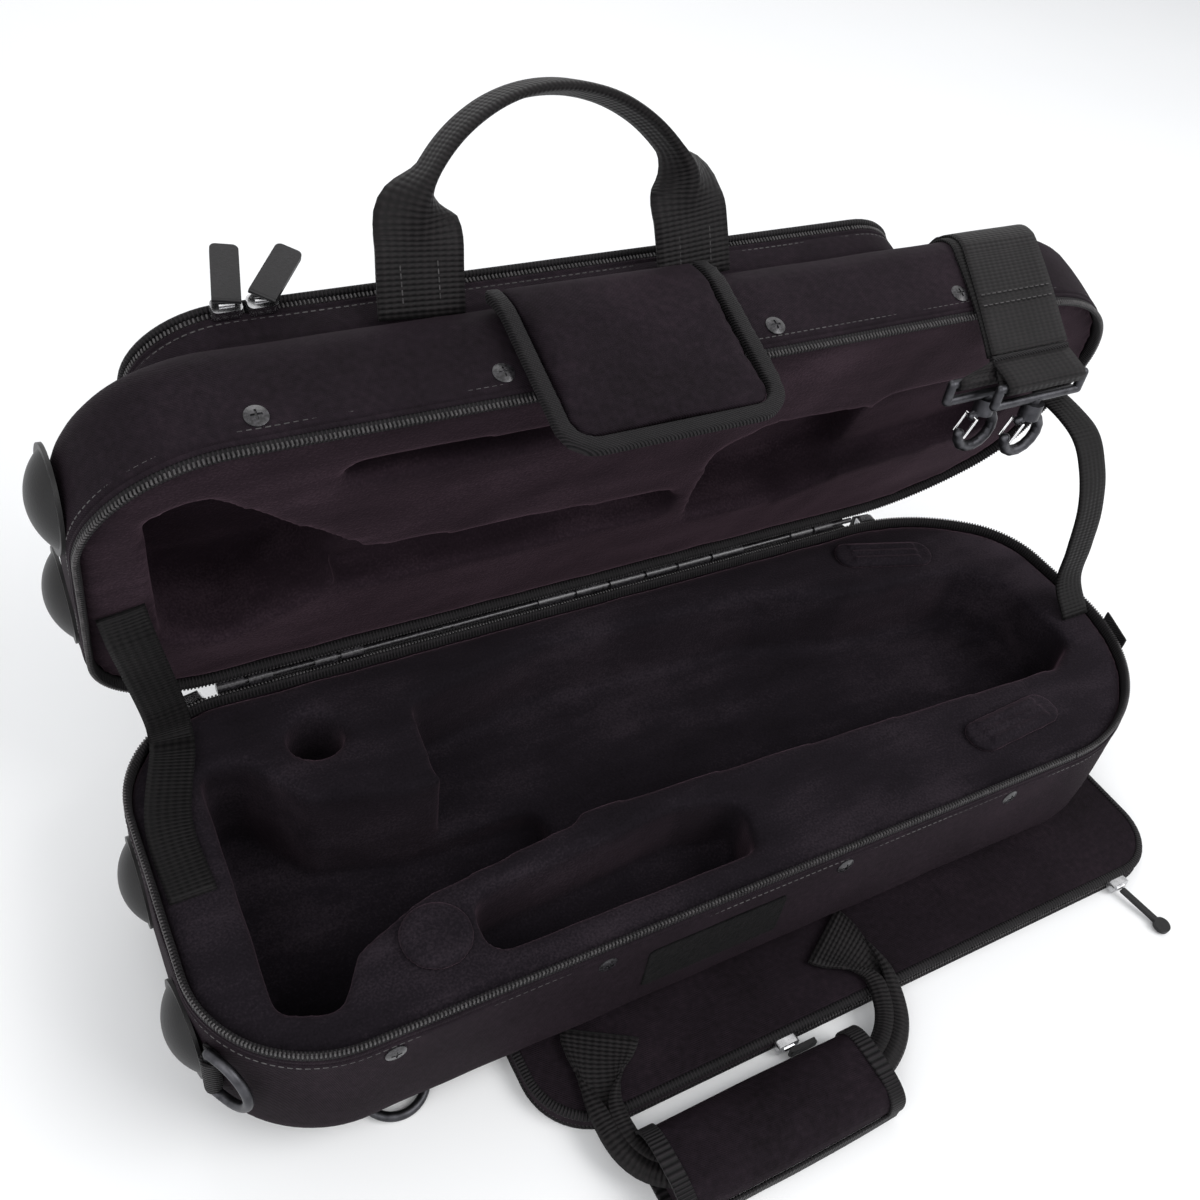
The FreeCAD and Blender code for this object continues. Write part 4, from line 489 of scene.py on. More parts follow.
def remeshed(names, voxel, rounds, ripple=0.0, grain=0.02):
    """The joined solids as one even skin, smoothed as soft padding is."""
    bm = bmesh.new()
    for name in names:
        bm.from_mesh(NODES[name].data)
    bmesh.ops.remove_doubles(bm, verts=bm.verts, dist=0.001 * MM)
    mesh = bpy.data.meshes.new("draft")
    bm.to_mesh(mesh)
    bm.free()
    draft = bpy.data.objects.new("draft", mesh)
    SCENE.collection.objects.link(draft)
    even = draft.modifiers.new("even", "REMESH")
    even.mode = "VOXEL"
    even.voxel_size = voxel * MM
    bm = evaluated(draft)
    for _ in range(rounds):
        bmesh.ops.smooth_vert(bm, verts=bm.verts, factor=0.5,
                              use_axis_x=True, use_axis_y=True, use_axis_z=True)
    if ripple:
        bm.normal_update()
        moves = [vert.normal * ripple * MM * noise.noise(vert.co / MM * grain) for vert in bm.verts]
        for vert, move in zip(bm.verts, moves):
            vert.co += move
    return bm


def puffed(bm, name, pressure, most):
    """Swells a closed skin as stuffing does, by cloth simulation, and no point by more than most."""
    frames, stiff = 16, 8.0
    mesh = bpy.data.meshes.new(name + "_draft")
    bm.to_mesh(mesh)
    bm.free()
    before = [vert.co.copy() for vert in mesh.vertices]
    draft = bpy.data.objects.new(name + "_draft", mesh)
    SCENE.collection.objects.link(draft)
    cloth = draft.modifiers.new("cloth", "CLOTH")
    cloth.settings.use_pressure = True
    cloth.settings.uniform_pressure_force = pressure
    cloth.settings.tension_stiffness = stiff
    cloth.settings.compression_stiffness = stiff
    cloth.settings.shear_stiffness = stiff / 2
    cloth.settings.effector_weights.gravity = 0.0
    for frame_number in range(1, frames + 1):
        SCENE.frame_set(frame_number)
    bm = evaluated(draft)
    SCENE.frame_set(1)
    bm.verts.ensure_lookup_table()
    for vert, start in zip(bm.verts, before):
        shift = vert.co - start
        if shift.length > most * MM:
            vert.co = start + shift.normalized() * most * MM
    return bm


def route_through(points, step=3.0):
    """A smooth route through places, as close-set places along it."""
    points = [Vector(p) for p in points]
    ends = [points[0] * 2 - points[1]] + points + [points[-1] * 2 - points[-2]]
    route = []
    for index in range(1, len(ends) - 2):
        before, here, there, after = ends[index - 1:index + 3]
        count = max(2, int((there - here).length / step))
        for part in range(count):
            t = part / count
            route.append(0.5 * (2 * here + (there - before) * t
                                + (2 * before - 5 * here + 4 * there - after) * t * t
                                + (3 * here - before - 3 * there + after) * t ** 3))
    route.append(points[-1])
    return route


def on_route(route, share):
    """The place and direction at a share of a route's steps."""
    at = share * (len(route) - 1)
    low = min(int(at), len(route) - 2)
    spot = route[low].lerp(route[low + 1], at - low)
    before, after = route[max(low - 1, 0)], route[min(low + 2, len(route) - 1)]
    return spot, (after - before).normalized()


def length_of(route):
    return sum((b - a).length for a, b in zip(route, route[1:]))


def webbing_strip(name, route, width, thickness, across, finish, body, stands_for=(), section=None,
                  rows=8, wave=0.0, stance=PLAIN, slanted=False):
    """Flat webbing along a route.

    section(share, v) gives how far across and how far up a point of it lies. A slanted strip keeps
    its direction across where the route leans sideways.
    """
    length = length_of(route)
    columns = max(12, int(length / 3))

    def place(u, v):
        spot, along = on_route(route, u)
        side = across(u) if callable(across) else Vector(across)
        up = along.cross(side).normalized()
        side = side if slanted else up.cross(along).normalized()
        over, lift = section(u, v * 2 - 1) if section else ((v * 2 - 1) * width / 2, 0.0)
        if wave:
            lift += wave * noise.noise(Vector((u * length / 22, v * 1.3, width)))
        return stance @ (spot + side * over + up * lift), (u * length * MM, (v - 0.5) * width * MM)

    piece = finished(sheet_of(columns, rows, place), name, finish, body, stands_for)
    return thickened(piece, thickness)


def repeated(name, stances, shape, finish, body):
    """Many copies of one small shape, joined as one piece."""
    small = bmesh.new()
    shape(small)
    mesh = bpy.data.meshes.new("small")
    small.to_mesh(mesh)
    small.free()
    bm = bmesh.new()
    for stance in stances:
        count = len(bm.verts)
        bm.from_mesh(mesh)
        bm.verts.ensure_lookup_table()
        bmesh.ops.transform(bm, matrix=stance, verts=bm.verts[count:])
    bpy.data.meshes.remove(mesh)
    return finished(bm, name, finish, body, crease=30)


def stance_at(spot, along, out, matrix=PLAIN):
    """Puts a small shape at a spot in millimetres, its X along the line and its Y outward."""
    along = Vector(along).normalized()
    out = Vector(out).normalized()
    up = along.cross(out).normalized()
    basis = Matrix((along, out, up)).transposed().to_4x4()
    whole = matrix @ Matrix.Translation(Vector(spot)) @ basis
    place = whole.to_translation() * MM
    return Matrix.Translation(place) @ whole.to_3x3().normalized().to_4x4()


def bevelled_block(bm, size, bevel):
    bmesh.ops.create_cube(bm, size=1.0)
    bmesh.ops.scale(bm, vec=Vector(size) * MM, verts=bm.verts)
    bmesh.ops.bevel(bm, geom=bm.edges[:], offset=bevel * MM, affect="EDGES", segments=1,
                    profile=0.5, material=-1)


def zip_tooth(bm):
    bevelled_block(bm, (0.95, 1.5, 2.3), 0.3)


def stitch(bm):
    bevelled_block(bm, (2.3, 0.55, 0.6), 0.2)


def row_round(line, length, out, up, pitch, matrix=PLAIN):
    """Stances along an outline, one each pitch."""
    stances = []
    for index in range(int(length / pitch)):
        point, outward = spot_on(line, length, index * pitch)
        spot = Vector((*(point + outward * out), up))
        along = Vector((-outward.y, outward.x, 0))
        stances.append(stance_at(spot, along, Vector((*outward, 0)), matrix))
    return stances


def row_along(route, pitch, across, stance):
    """Stances along a route, one each pitch."""
    stances = []
    count = int(length_of(route) / pitch)
    for index in range(count):
        spot, along = on_route(route, (index + 0.5) / count)
        up = along.cross(Vector(across)).normalized()
        stances.append(stance_at(spot, along, up.cross(along).normalized(), stance))
    return stances


# The two halves of the case

def corner_arc(edge, base, sign, inset):
    """The rounded edge between a wall and the flat, in the middle of the wall's thickness."""
    radius = edge - inset
    turns = [math.radians(a) for a in range(0, 91, 10)]
    return [(-edge + radius * math.cos(a), base + sign * radius * math.sin(a)) for a in turns]


def case_half(name, face, sign, edge, flat, matrix, body, node):
    """The outer cloth of one half, whose hem has a groove and whose wall bulges a little."""
    middle = WALL / 2
    turn_z = flat - sign * edge
    profile = [(-middle, face), (-middle + 0.3, face + sign * 1.2),
               (-middle - 0.5, face + sign * 2.1), (-middle + 0.35, face + sign * 3.2),
               (-middle + 0.2, face + sign * 6.0)]
    steps = 5
    for k in range(1, steps):
        share = k / steps
        z = face + sign * 6.0 + (turn_z - face - sign * 6.0) * share
        profile.append((-middle + 0.2 + 0.35 * math.sin(math.pi * share), z))
    profile += corner_arc(edge, turn_z, sign, middle)
    bm = swept_round(CASE_LINE, CASE_ROUND, profile, matrix, 0.55, 0.035)
    lidded(bm)
    bmesh.ops.recalc_face_normals(bm, faces=bm.faces)
    return thickened(finished(bm, name, NYLON, body, (node,)), WALL)


case_half("tray_cover", TRAY_FACE, -1, TRAY_EDGE, FLOOR, PLAIN, "tray", "tray_shell")
case_half("lid_cover", LID_FACE, 1, LID_EDGE, LID_TOP, LID, "lid", "lid_shell")

for half, face, sign, matrix in (("tray", TRAY_FACE, -1, PLAIN), ("lid", LID_FACE, 1, LID)):
    rim = face - sign * 4.0
    tape = [(-0.9, face + sign * 0.6), (-0.7, face - sign * 0.8), (-1.2, face - sign * 2.2),
            (-1.4, rim + sign * 0.5), (-2.2, rim + sign * 0.2), (-2.8, face - sign * 2.0),
            (-3.1, face - sign * 0.6), (-3.2, face + sign * 1.0)]
    band = swept_round(CASE_LINE, CASE_ROUND, tape, matrix, 0.15, 0.05)
    thickened(finished(band, half + "_zip_tape", BINDING, half, (half + "_zip",)), 0.8)
    teeth = row_round(CASE_LINE, CASE_ROUND, -0.9, rim + sign * 0.9, TOOTH_PITCH, matrix)
    repeated(half + "_zip_teeth", teeth, zip_tooth, COIL, half)
    stitches = row_round(CASE_LINE, CASE_ROUND, 0.0, face + sign * 5.0, STITCH_PITCH, matrix)
    repeated(half + "_rim_stitches", stitches, stitch, COIL, half)

for half, velour in (("tray", VELOUR), ("lid", LID_VELOUR)):
    solids = (half + "_foam", half + "_lining")
    padded_piece = finished(remeshed(solids, 2.6, 5, 0.5, 0.05), half + "_velour_lining", velour,
                            half, solids)

finished(remeshed(("foam_dome",), 1.3, 2), "velour_dome", VELOUR, "tray", ("foam_dome",))
for end in ("front", "back"):
    finished(remeshed(("support_pad_" + end,), 1.1, 2), "velour_pad_" + end, VELOUR, "tray",
             ("support_pad_" + end,))


# Closure flap

FLAP = finished(puffed(remeshed(("closure_flap",), 2.2, 2), "flap", 3.0, 2.2), "flap_padding",
                NYLON_PLAIN, "flap", ("closure_flap",))
rounded_off(FLAP)
finished(remeshed(("flap_binding",), 1.3, 2), "flap_grosgrain", BINDING_PLAIN, "flap",
         ("flap_binding",))
finished(remeshed(("hook_patch",), 0.7, 1), "hook_side", LOOPS, "flap", ("hook_patch",))
finished(remeshed(("loop_patch",), 0.7, 1, 0.25, 0.6), "loop_side", LOOPS, "tray", ("loop_patch",))


# Handles

def eased(u, limits):
    """From 0 at both ends of a strip to 1 in its middle, changing between the two limits."""
    low, high = limits
    turn = min(max((min(u, 1 - u) - low) / (high - low), 0.0), 1.0)
    return turn * turn * (3 - 2 * turn)


def signed_power(value, power):
    return math.copysign(abs(value) ** power, value)


def tent_fold(limits):
    """Webbing that is flat at both ends and folded back on its middle between them."""
    half, spread, folded = WEB_WIDTH / 2, 1.7, math.radians(88)

    def section(u, v):
        turn = folded * eased(u, limits)
        over = v * half * math.cos(turn) + signed_power(v, 0.5) * spread * math.sin(turn)
        return over, (0.5 - abs(v)) * half * math.sin(turn)
    return section


def top_handle():
    """One length of webbing: flat legs and a folded arch."""
    half, neck, rise, drawn = 65.5, 45.0, 38.0, 3.25
    neck_half = half - drawn
    radius = (neck_half ** 2 + rise ** 2) / (2 * rise)
    centre = neck + rise - radius
    seat, forward, lean = LID_EDGE + 1.5 + 0.3, 8.0, 90 + 47
    foot = (-56.0, -86.0, LID_TOP - LID_EDGE + math.sqrt(seat ** 2 - forward ** 2))
    stance = LID @ Matrix.Translation(foot) @ Matrix.Rotation(math.radians(lean), 4, "X")
    turn = math.degrees(math.asin(neck_half / radius))
    points = [(-half, 0, 0), (-half + 0.9, neck * 0.35, 0.3), (-half + 2.2, neck * 0.7, 0.8)]
    for part in range(0, 11):
        a = math.radians(-turn + 2 * turn * part / 10)
        points.append((radius * math.sin(a), centre + radius * math.cos(a), 1.0))
    points += [(half - 2.2, neck * 0.7, 0.8), (half - 0.9, neck * 0.35, 0.3), (half, 0, 0)]
    route = route_through(points, 2.5)

    def across(u):
        return Vector((0, 0, 1)).cross(on_route(route, u)[1])

    webbing_strip("top_handle_webbing", route, WEB_WIDTH, 2.2, across, WEBBING, "top_handle",
                  ("top_handle",), tent_fold((0.10, 0.24)), 12, 0.5, stance)
    for hand, sign in (("left", -1), ("right", 1)):
        leg = [Vector((sign * half, 6, 0)), Vector((sign * (half - 0.5), 22, 0.2))]
        for row, side in (("in", -8.0), ("out", 8.0)):
            seam = [point + Vector((side, 0, 1.3)) for point in leg]
            repeated("top_handle_stitches_%s_%s" % (hand, row),
                     row_along(seam, 3.2, (1, 0, 0), stance), stitch, COIL, "top_handle")


top_handle()


def rolled_fold(limits):
    """Webbing that is flat at both ends and rolled into a flattened tube between them."""
    half_wide, half_high = 7.5, 2.6

    def section(u, v):
        turn = eased(u, limits)
        over, lift = half_wide * math.sin(math.pi * v), half_high * math.cos(math.pi * v)
        return v * WEB_WIDTH / 2 * (1 - turn) + over * turn, lift * turn
    return section


def bottom_handle():
    """One length of webbing lying forward of the tray, and the padded wrap on it."""
    z, middle, half = 12.3, -37.5, 65.0
    left, right = middle - half, middle + half
    spread, neck_y, grip_y = 13.5, -131.0, -171.0
    points = [(left, -102, z), (left - spread * 0.6, -116, z), (left - spread, neck_y, z),
              (left - spread - 1, -146, z), (left - spread + 1, -157, z),
              (left - spread + 7, -166, z), (left - spread + 18, grip_y, z), (-75, grip_y, z),
              (-25, grip_y, z), (0, grip_y, z), (14, -168, z), (27, -160, z),
              (right + spread - 5, -148, z), (right + spread, neck_y, z),
              (right + spread * 0.6, -116, z), (right, -102, z)]
    route = route_through(points)

    def across(u):
        return on_route(route, u)[1].cross(Vector((0, 0, 1)))

    webbing_strip("bottom_handle_strap", route, WEB_WIDTH, 2.0, across, WEBBING, "bottom_handle",
                  ("bottom_handle_webbing",), rolled_fold((0.0, 0.15)), 16, 0.3)
    grip = finished(puffed(remeshed(("bottom_handle_grip",), 2.2, 3), "grip", 4.0, 3.0),
                    "grip_padding", NYLON_PLAIN, "bottom_handle", ("bottom_handle_grip",))
    rounded_off(grip)
    deep, tall, count = 20.6, 11.6, 28
    for name, x in (("left", -107.0), ("right", 5.0)):
        loop = []
        for k in range(count + 1):
            a = 2 * math.pi * k / count
            loop.append(Vector((x, grip_y + deep * signed_power(math.cos(a), 0.7),
                                z + tall * signed_power(math.sin(a), 0.8))))
        webbing_strip("grip_binding_" + name, loop, 8.0, 1.6, (1, 0, 0), BINDING, "bottom_handle")
    hem = [(x, grip_y - forward, z - drop) for x, forward, drop in
           ((-110, 20.2, 5), (-80, 20.9, 6), (-51, 21.0, 6), (-20, 20.9, 6), (8, 20.2, 5))]
    webbing_strip("grip_binding_hem", route_through(hem), 7.5, 1.4, (0, 0, 1), BINDING,
                  "bottom_handle", rows=6, wave=0.3)


bottom_handle()


# Pockets

def panel_over(left, front, right, back, corner, up, crown, ripple, matrix):
    """A sheet on a rounded oblong, raised towards its middle."""
    cx, cy = (left + right) / 2, (front + back) / 2
    hx, hy = (right - left) / 2, (back - front) / 2
    grain, step, rise_run, fade_run = 0.02, 5.0, 14.0, 12.0

    def place(u, v):
        x, y = (u - 0.5) * 2 * hx, (v - 0.5) * 2 * hy
        dx, dy = max(abs(x) - (hx - corner), 0.0), max(abs(y) - (hy - corner), 0.0)
        reach = math.hypot(dx, dy)
        if reach > corner:
            x = math.copysign(hx - corner + dx * corner / reach, x)
            y = math.copysign(hy - corner + dy * corner / reach, y)
        inside = min(hx - abs(x), hy - abs(y))
        lift = crown * (1 - math.exp(-max(inside, 0) / rise_run))
        spot = Vector((cx + x, cy + y, up + lift))
        fade = min(max(inside, 0) / fade_run, 1.0)
        spot.z += ripple * fade * noise.noise(spot * grain)
        return matrix @ spot, ((cx + x) * MM, (cy + y) * MM)

    return sheet_of(int((right - left) / step), int((back - front) / step), place)


def accessory_pocket():
    """The pocket on the lid: its wall, its zip and its padded top."""
    base, zip_low = POCKET_BASE, POCKET_BASE + POCKET_RISE
    zip_high = zip_low + POCKET_ZIP
    panel_z = zip_high + 0.3 + PANEL_THICK / 2
    wall = [(-1.0, base), (-0.7, base + 1.5), (-1.6, base + 2.6), (-0.8, base + 4)]
    wall += [(-1.0 + 0.5 * math.sin(math.pi * k / 4), base + 4 + (POCKET_RISE - 7) * k / 4)
             for k in range(1, 4)]
    wall += [(-0.8, zip_low - 3), (-1.6, zip_low - 1.8), (-0.9, zip_low - 0.8), (-1.0, zip_low)]
    band = swept_round(POCKET_LINE, POCKET_ROUND, wall, LID, 0.5, 0.04)
    thickened(finished(band, "accessory_wall", NYLON, "lid", ("accessory_gusset",)), 2.0)
    tape = [(-1.5, zip_low - 0.4), (-1.0, zip_low + 0.3), (-0.8, zip_low + 1.5),
            (-1.0, zip_high - 0.3), (-1.5, zip_high + 0.2)]
    band = swept_round(POCKET_LINE, POCKET_ROUND, tape, LID)
    thickened(finished(band, "accessory_zip_tape", BINDING, "lid", ("accessory_zip",)), 0.9)
    teeth = row_round(POCKET_LINE, POCKET_ROUND, -0.3, zip_low + 1.5, TOOTH_PITCH, LID)
    repeated("accessory_zip_teeth", teeth, zip_tooth, COIL, "lid")
    stitches = row_round(POCKET_LINE, POCKET_ROUND, 0.1, zip_low - 3.4, STITCH_PITCH, LID)
    repeated("accessory_stitches", stitches, stitch, COIL, "lid")
    panel = panel_over(*POCKET, panel_z, 2.2, 2.4, LID)
    top = thickened(finished(panel, "accessory_top", NYLON, "pocket_top", ("accessory_panel",)),
                    PANEL_THICK - 0.6)
    piping = rolled_profile(-0.4, panel_z, 1.7, 0, 360, 10)
    finished(swept_round(POCKET_LINE, POCKET_ROUND, piping, LID), "accessory_piping", BINDING,
             "pocket_top")


accessory_pocket()


def music_pocket():
    """The flat pocket under the tray: two sheets, a bound edge and an open zip along its front."""
    low, room = 2.0, 6.0
    high = low + room
    under = panel_over(*MUSIC, low / 2 + 0.1, 0.0, 0.0, PLAIN)
    under = thickened(finished(under, "music_under_sheet", NYLON, "tray", ("music_pocket_bottom",)),
                      low - 0.3)
    over = panel_over(*MUSIC, high + low / 2, 0.0, 0.0, PLAIN)
    over = thickened(finished(over, "music_over_sheet", NYLON, "tray", ("music_pocket_top",)),
                     low - 0.4)
    wall = [(-1.0, low), (-0.7, low + 1.5), (-0.6, low + 3), (-0.7, high - 1.5), (-1.0, high)]
    bm = swept_round(MUSIC_LINE, MUSIC_ROUND, wall)
    gap = [face for face in bm.faces
           if face.calc_center_median().y < (MUSIC[1] + 2) * MM
           and MOUTH[0] * MM < face.calc_center_median().x < MOUTH[1] * MM]
    bmesh.ops.delete(bm, geom=gap, context="FACES")
    thickened(finished(bm, "music_wall", NYLON, "tray", ("music_pocket_gusset",)), 1.8)
    for name, z in (("under", low - 0.7), ("over", high + 0.7)):
        edge = rolled_profile(-2.0, z, 1.9, -115, 115)
        edge = [(-2.0 + (out + 2.0) * 1.4, z + (up - z) * 0.75) for out, up in edge]
        band = swept_round(MUSIC_LINE, MUSIC_ROUND, edge)
        thickened(finished(band, "music_binding_" + name, BINDING, "tray"), 0.5)
    front = [row for row in row_round(MUSIC_LINE, MUSIC_ROUND, -0.6, 0.0, TOOTH_PITCH)
             if row.to_translation().y < (MUSIC[1] + 26) * MM]
    for name, z in (("under", low + 0.9), ("over", high - 0.9)):
        repeated("music_teeth_" + name, [Matrix.Translation((0, 0, z * MM)) @ row for row in front],
                 zip_tooth, COIL, "tray")
    finished(remeshed(("music_zip",), 0.5, 0), "music_zip_tape", BINDING_PLAIN, "tray",
             ("music_zip",))


music_pocket()


# Straps

def stay_straps():
    """The two soft straps between the halves, which turn with the lid at one end only."""
    x = 256.5
    top = LID @ Vector((-x, 6.0, 90.6))
    fold = Vector((-243.5, 82.0, 87.9))
    sewn = Vector((-x, -6.0, 83.4))
    left = [top, top + (fold - top) * 0.2 + Vector((0, -3.2, 0)), fold + Vector((-1.6, -1.6, 20)),
            fold, fold + Vector((-1.6, -10, -1.6)), sewn + Vector((0, 40, 0.8)), sewn]
    # Both stays take the darker webbing, painted shade for the gap between the halves
    piece = webbing_strip("stay_webbing_left", route_through(left), STAY_WIDTH, STAY_THICK, (1, 0, 0),
                          SHADED_WEBBING, None, ("stay_strap_left",), rows=6, wave=0.8)
    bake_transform(piece)
    top = LID @ Vector((x, -6.0, 90.6))
    sewn = Vector((x, -16.0, 83.4))
    drop = top.z - sewn.z
    right = [top] + [Vector((x, 100 * y, sewn.z + drop * z)) for y, z in
                     ((0.34, 0.95), (0.17, 0.80), (0.07, 0.60), (0.02, 0.36), (-0.02, 0.14))] + [sewn]
    piece = webbing_strip("stay_webbing_right", route_through(right), STAY_WIDTH, STAY_THICK,
                          (1, 0, 0), SHADED_WEBBING, None, ("stay_strap_right",), rows=6, wave=0.6)
    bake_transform(piece)


stay_straps()


def shoulder_strap():
    """Doubled webbing over the lid's front edge, and its ends folded round the two rings."""
    bend_y, bend_z = -HALF_WIDTH + LID_EDGE, LID_TOP - LID_EDGE
    slant = (STRAP_END_X - STRAP_X) / (LID_TOP - STRAP_END_Z)
    # The under layer takes the darker webbing, painted shade beneath the over layer
    for name, seat, shift, cloth in (("under", 0.95, -4.0, SHADED_WEBBING), ("over", 2.5, 0.0, WEBBING)):
        radius = LID_EDGE + seat
        points = [Vector((STRAP_X + shift, 66.0 - shift * 2, bend_z + radius)),
                  Vector((STRAP_X + shift, 10.0, bend_z + radius + 0.4))]
        for degrees in (90, 72, 54, 36, 18, 0):
            a = math.radians(degrees)
            z = bend_z + radius * math.sin(a)
            points.append(Vector((STRAP_X + shift + slant * max(0.0, LID_TOP - z),
                                  bend_y - radius * math.cos(a), z)))
        for z in (LID_RIM, STRAP_END_Z + 1.8):
            points.append(Vector((STRAP_X + shift * 0.3 + slant * (LID_TOP - z),
                                  -HALF_WIDTH - seat - 1.6, z)))
        webbing_strip("strap_layer_" + name, route_through(points, 4.0), STRAP_WIDTH, 1.35, (1, 0, 0),
                      cloth, "lid", ("shoulder_webbing",) if name == "over" else (), None, 10, 0.5,
                      LID, True)
    rows = []
    for z in (LID_RIM + 8.0, LID_RIM + 2.0):
        x = STRAP_X + slant * (LID_TOP - z)
        for k in range(-6, 7):
            spot = Vector((x + k * 3.5, -HALF_WIDTH - 5.0, z))
            rows.append(stance_at(spot, (1, 0, 0), (0, -1, 0), LID))
    repeated("strap_stitches", rows, stitch, COIL, "lid")
    apart, half, round_bar = 20.0, STRAP_WIDTH / 2, 3.2
    knuckle = STRAP_KNUCKLE
    for index, name in ((0, "front"), (1, "back")):
        forward = 2.5 + (1 - index) * 10.5
        bar = knuckle + Vector((-index * apart, -forward, -7.5))
        x = bar.x

        def trimmed(u, v, shift=index * apart):
            """The back end is cut in at the knuckle, where it lies beside the front one."""
            let_out = min(1.0, min(u, 1 - u) / 0.3)
            left = -half + shift * (1 - let_out)
            return left + (half - left) * (v + 1) / 2, 0.0

        loop = [Vector((x, knuckle.y - 0.2, knuckle.z - 0.6)),
                Vector((x, (knuckle.y + bar.y) / 2 - 1, bar.z + 5.0))]
        for degrees in (40, 100, 160, 220, 280):
            a = math.radians(degrees) - 0.6
            loop.append(Vector((x, bar.y - round_bar * math.sin(a), bar.z + round_bar * math.cos(a))))
        loop.append(Vector((x, (knuckle.y + bar.y) / 2 + 1.5, bar.z + 4.5)))
        webbing_strip("strap_end_" + name, route_through(loop, 1.5), STRAP_WIDTH, 1.2, (1, 0, 0),
                      WEBBING, "strap_end", ("strap_end_webbing",) if not index else (), trimmed,
                      wave=0.2)


def strap_knuckle():
    """The rolled seam that the strap's two ends hang from."""
    radius = 1.45 * MM
    bm = bmesh.new()
    bmesh.ops.create_cone(bm, cap_ends=True, segments=16, radius1=radius, radius2=radius,
                          depth=STRAP_WIDTH * MM)
    lying = Matrix.Rotation(math.radians(90), 4, "Y")
    bmesh.ops.transform(bm, matrix=Matrix.Translation(STRAP_KNUCKLE * MM) @ lying, verts=bm.verts)
    finished(bm, "strap_seam_roll", BINDING_PLAIN, "strap_end", crease=60)


shoulder_strap()
strap_knuckle()
finished(remeshed(("d_ring_tabs",), 0.8, 2), "ring_tabs", BINDING_PLAIN, "tray", ("d_ring_tabs",))


def hinge_cover(name, profile, matrix, body):
    """A band of cloth along the hinge, from its profile of (back, up)."""
    start, end = -216.0, 172.0
    heights = distances_along(profile)

    def place(u, v):
        x = start + (end - start) * u
        row = round(v * (len(profile) - 1))
        back, up = profile[row]
        return matrix @ Vector((x, back, up)), (x * MM, heights[row] * MM)

    thickened(finished(sheet_of(90, len(profile) - 1, place), name, BINDING, body), 0.4)


WRAP_RADIUS = 3.35
SLEEVE_WRAP = [(HINGE.y + WRAP_RADIUS * math.cos(math.radians(a)),
                HINGE.z + WRAP_RADIUS * math.sin(math.radians(a))) for a in range(145, 38, -12)]
hinge_cover("hinge_cover_lid", [(100.2, 97.5), (100.3, 93), (99.9, 89.4)] + SLEEVE_WRAP, LID, "lid")
hinge_cover("hinge_cover_tray", [(100.3, 75), (101.6, 79), (102.0, 82), (103.4, 82.9), (105.4, 82.5),
                                 (106.6, 81.2)], PLAIN, "tray")


# Parts kept as they are built, with their own finishes, and finishes for the solids inside

KEPT = {"tray_bumper_back": RUBBER, "tray_bumper_front": RUBBER, "lid_bumper_back": RUBBER,
        "lid_bumper_front": RUBBER, "tray_screws": LACQUER, "lid_screws": LACQUER,
        "hinge_rod": LACQUER, "tray_hinge_sleeves": LACQUER, "lid_hinge_sleeves": LACQUER,
        "strap_rings": CAST, "snap_hook_front": CAST, "snap_hook_back": CAST,
        "hook_gate_front": WIRE, "hook_gate_back": WIRE, "d_ring_left": CAST,
        "d_ring_right": CAST, "d_ring_under": CAST}
for side in ("left", "right"):
    for kind in ("accessory_slider", "music_slider", "main_zip_slider"):
        KEPT["%s_%s" % (kind, side)] = NICKEL
    for kind in ("accessory_pull", "music_pull", "main_pull"):
        KEPT["%s_%s" % (kind, side)] = PULL_RUBBER
INSIDE = {"tray_shell": NYLON_PLAIN, "lid_shell": NYLON_PLAIN, "tray_foam": FOAM, "lid_foam": FOAM}
for node, finish in {**KEPT, **INSIDE}.items():
    materials = NODES[node].data.materials
    materials.clear()
    materials.append(finish)


# Floor, light and camera

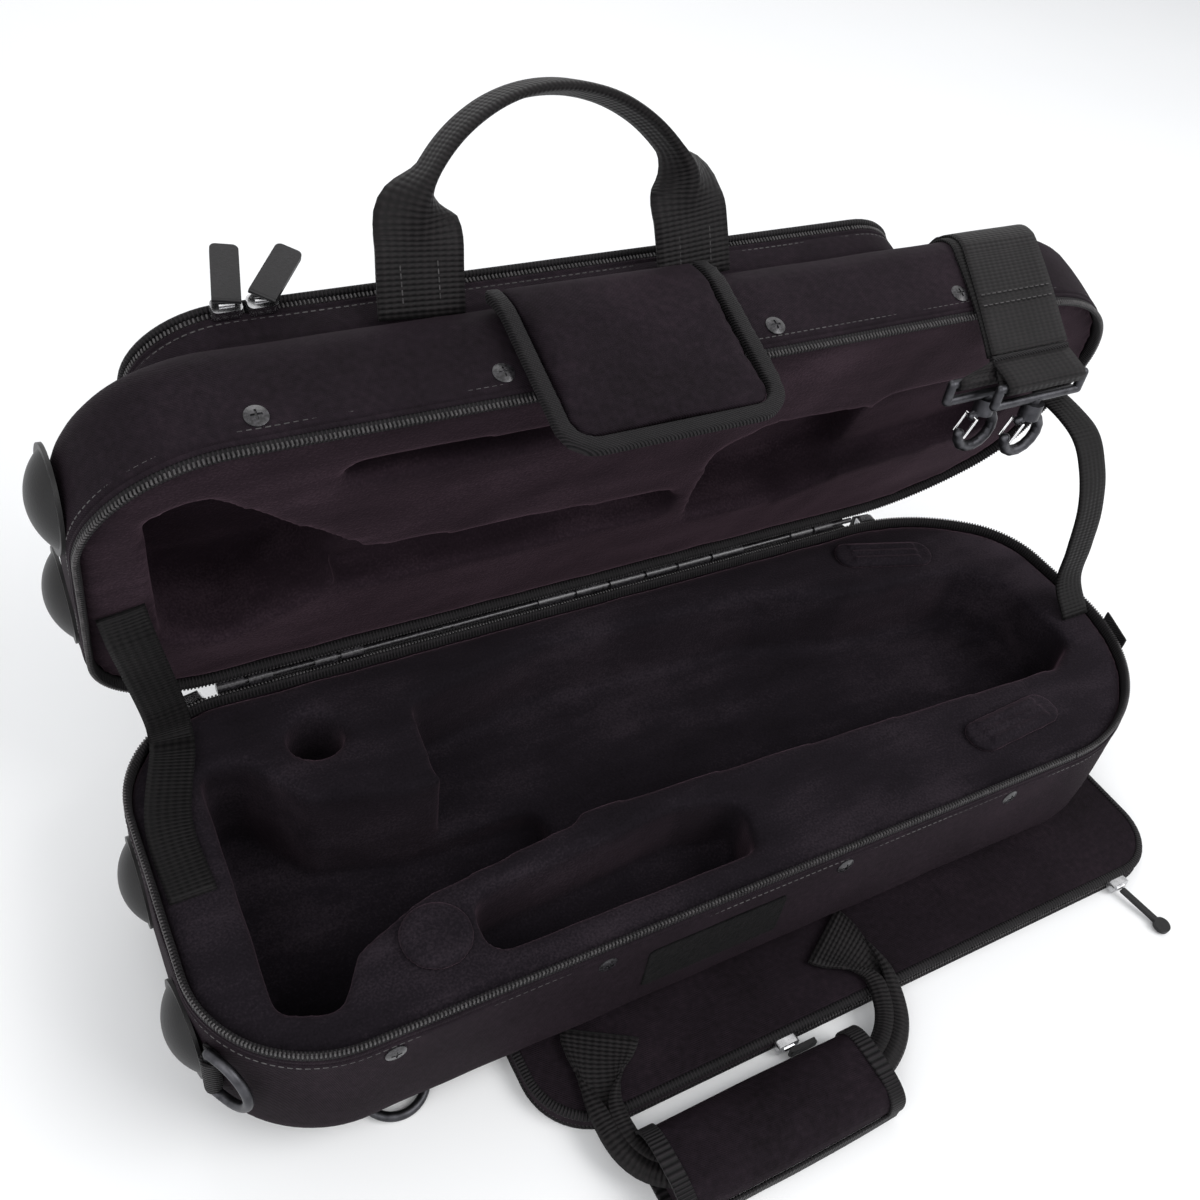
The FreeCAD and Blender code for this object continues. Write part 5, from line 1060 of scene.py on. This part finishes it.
def studio():
    """A pale floor and a white surrounding, lit from the right front, and the photo's camera."""
    bm = bmesh.new()
    bmesh.ops.create_grid(bm, x_segments=1, y_segments=1, size=6.0)
    mesh = bpy.data.meshes.new("floor")
    bm.to_mesh(mesh)
    bm.free()
    floor = bpy.data.objects.new("floor", mesh)
    SCENE.collection.objects.link(floor)
    pale = Finish("pale_floor", roughness=0.9, specular_ior_level=0.2)
    pale.shades(pale.cloud(pale.coordinates(), 3.0, 2.0),
                ((0.2, (0.97, 0.97, 0.97)), (0.8, (0.99, 0.99, 0.99))))
    mesh.materials.append(pale.material)

    world = bpy.data.worlds.new("studio")
    SCENE.world = world
    world.use_nodes = True
    tree = world.node_tree
    tree.nodes.clear()
    output = tree.nodes.new("ShaderNodeOutputWorld")
    path = tree.nodes.new("ShaderNodeLightPath")
    seen = tree.nodes.new("ShaderNodeBackground")
    around = tree.nodes.new("ShaderNodeBackground")
    seen.inputs["Color"].default_value = (1, 1, 1, 1)
    around.inputs["Color"].default_value = (0.95, 0.97, 1, 1)
    around.inputs["Strength"].default_value = 0.6
    meets_white = path.outputs["Is Camera Ray"]
    for ray in ("Is Glossy Ray", "Is Transmission Ray"):
        either = tree.nodes.new("ShaderNodeMath")
        either.operation = "MAXIMUM"
        tree.links.new(meets_white, either.inputs[0])
        tree.links.new(path.outputs[ray], either.inputs[1])
        meets_white = either.outputs[0]
    mix = tree.nodes.new("ShaderNodeMixShader")
    tree.links.new(meets_white, mix.inputs[0])
    tree.links.new(around.outputs[0], mix.inputs[1])
    tree.links.new(seen.outputs[0], mix.inputs[2])
    tree.links.new(mix.outputs[0], output.inputs["Surface"])

    for name, place, size, power in (("key", (1.1, -1.2, 1.7), 1.4, 27),
                                     ("fill", (-1.2, -1.0, 1.5), 1.6, 14),
                                     ("back", (0.3, 1.5, 1.7), 1.4, 10),
                                     ("low", (-1.5, -0.5, 0.5), 1.0, 2)):
        lamp = bpy.data.lights.new(name, "AREA")
        lamp.energy, lamp.size = power, size
        holder = bpy.data.objects.new(name, lamp)
        SCENE.collection.objects.link(holder)
        holder.location = place
        aim = Vector((0, 0.03, 0.14)) - Vector(place)
        holder.rotation_euler = aim.to_track_quat("-Z", "Y").to_euler()

    camera = bpy.data.cameras.new("camera")
    camera.sensor_width, camera.lens = 36.0, 36.855
    camera.clip_start, camera.clip_end = 0.01, 20.0
    holder = bpy.data.objects.new("camera", camera)
    SCENE.collection.objects.link(holder)
    stand = (-0.297633, -0.321294, 0.542039)
    yaw, pitch, roll = 0.610, 0.733, 0.173
    forward = Vector((math.sin(yaw) * math.cos(pitch), math.cos(yaw) * math.cos(pitch),
                      -math.sin(pitch)))
    right = Vector((math.cos(yaw), -math.sin(yaw), 0))
    up = right.cross(forward)
    level = math.cos(roll) * right + math.sin(roll) * up
    tall = -math.sin(roll) * right + math.cos(roll) * up
    holder.matrix_world = (Matrix.Translation(stand)
                           @ Matrix((level, tall, -forward)).transposed().to_4x4())
    SCENE.camera = holder


studio()
SCENE.view_settings.view_transform = "Standard"
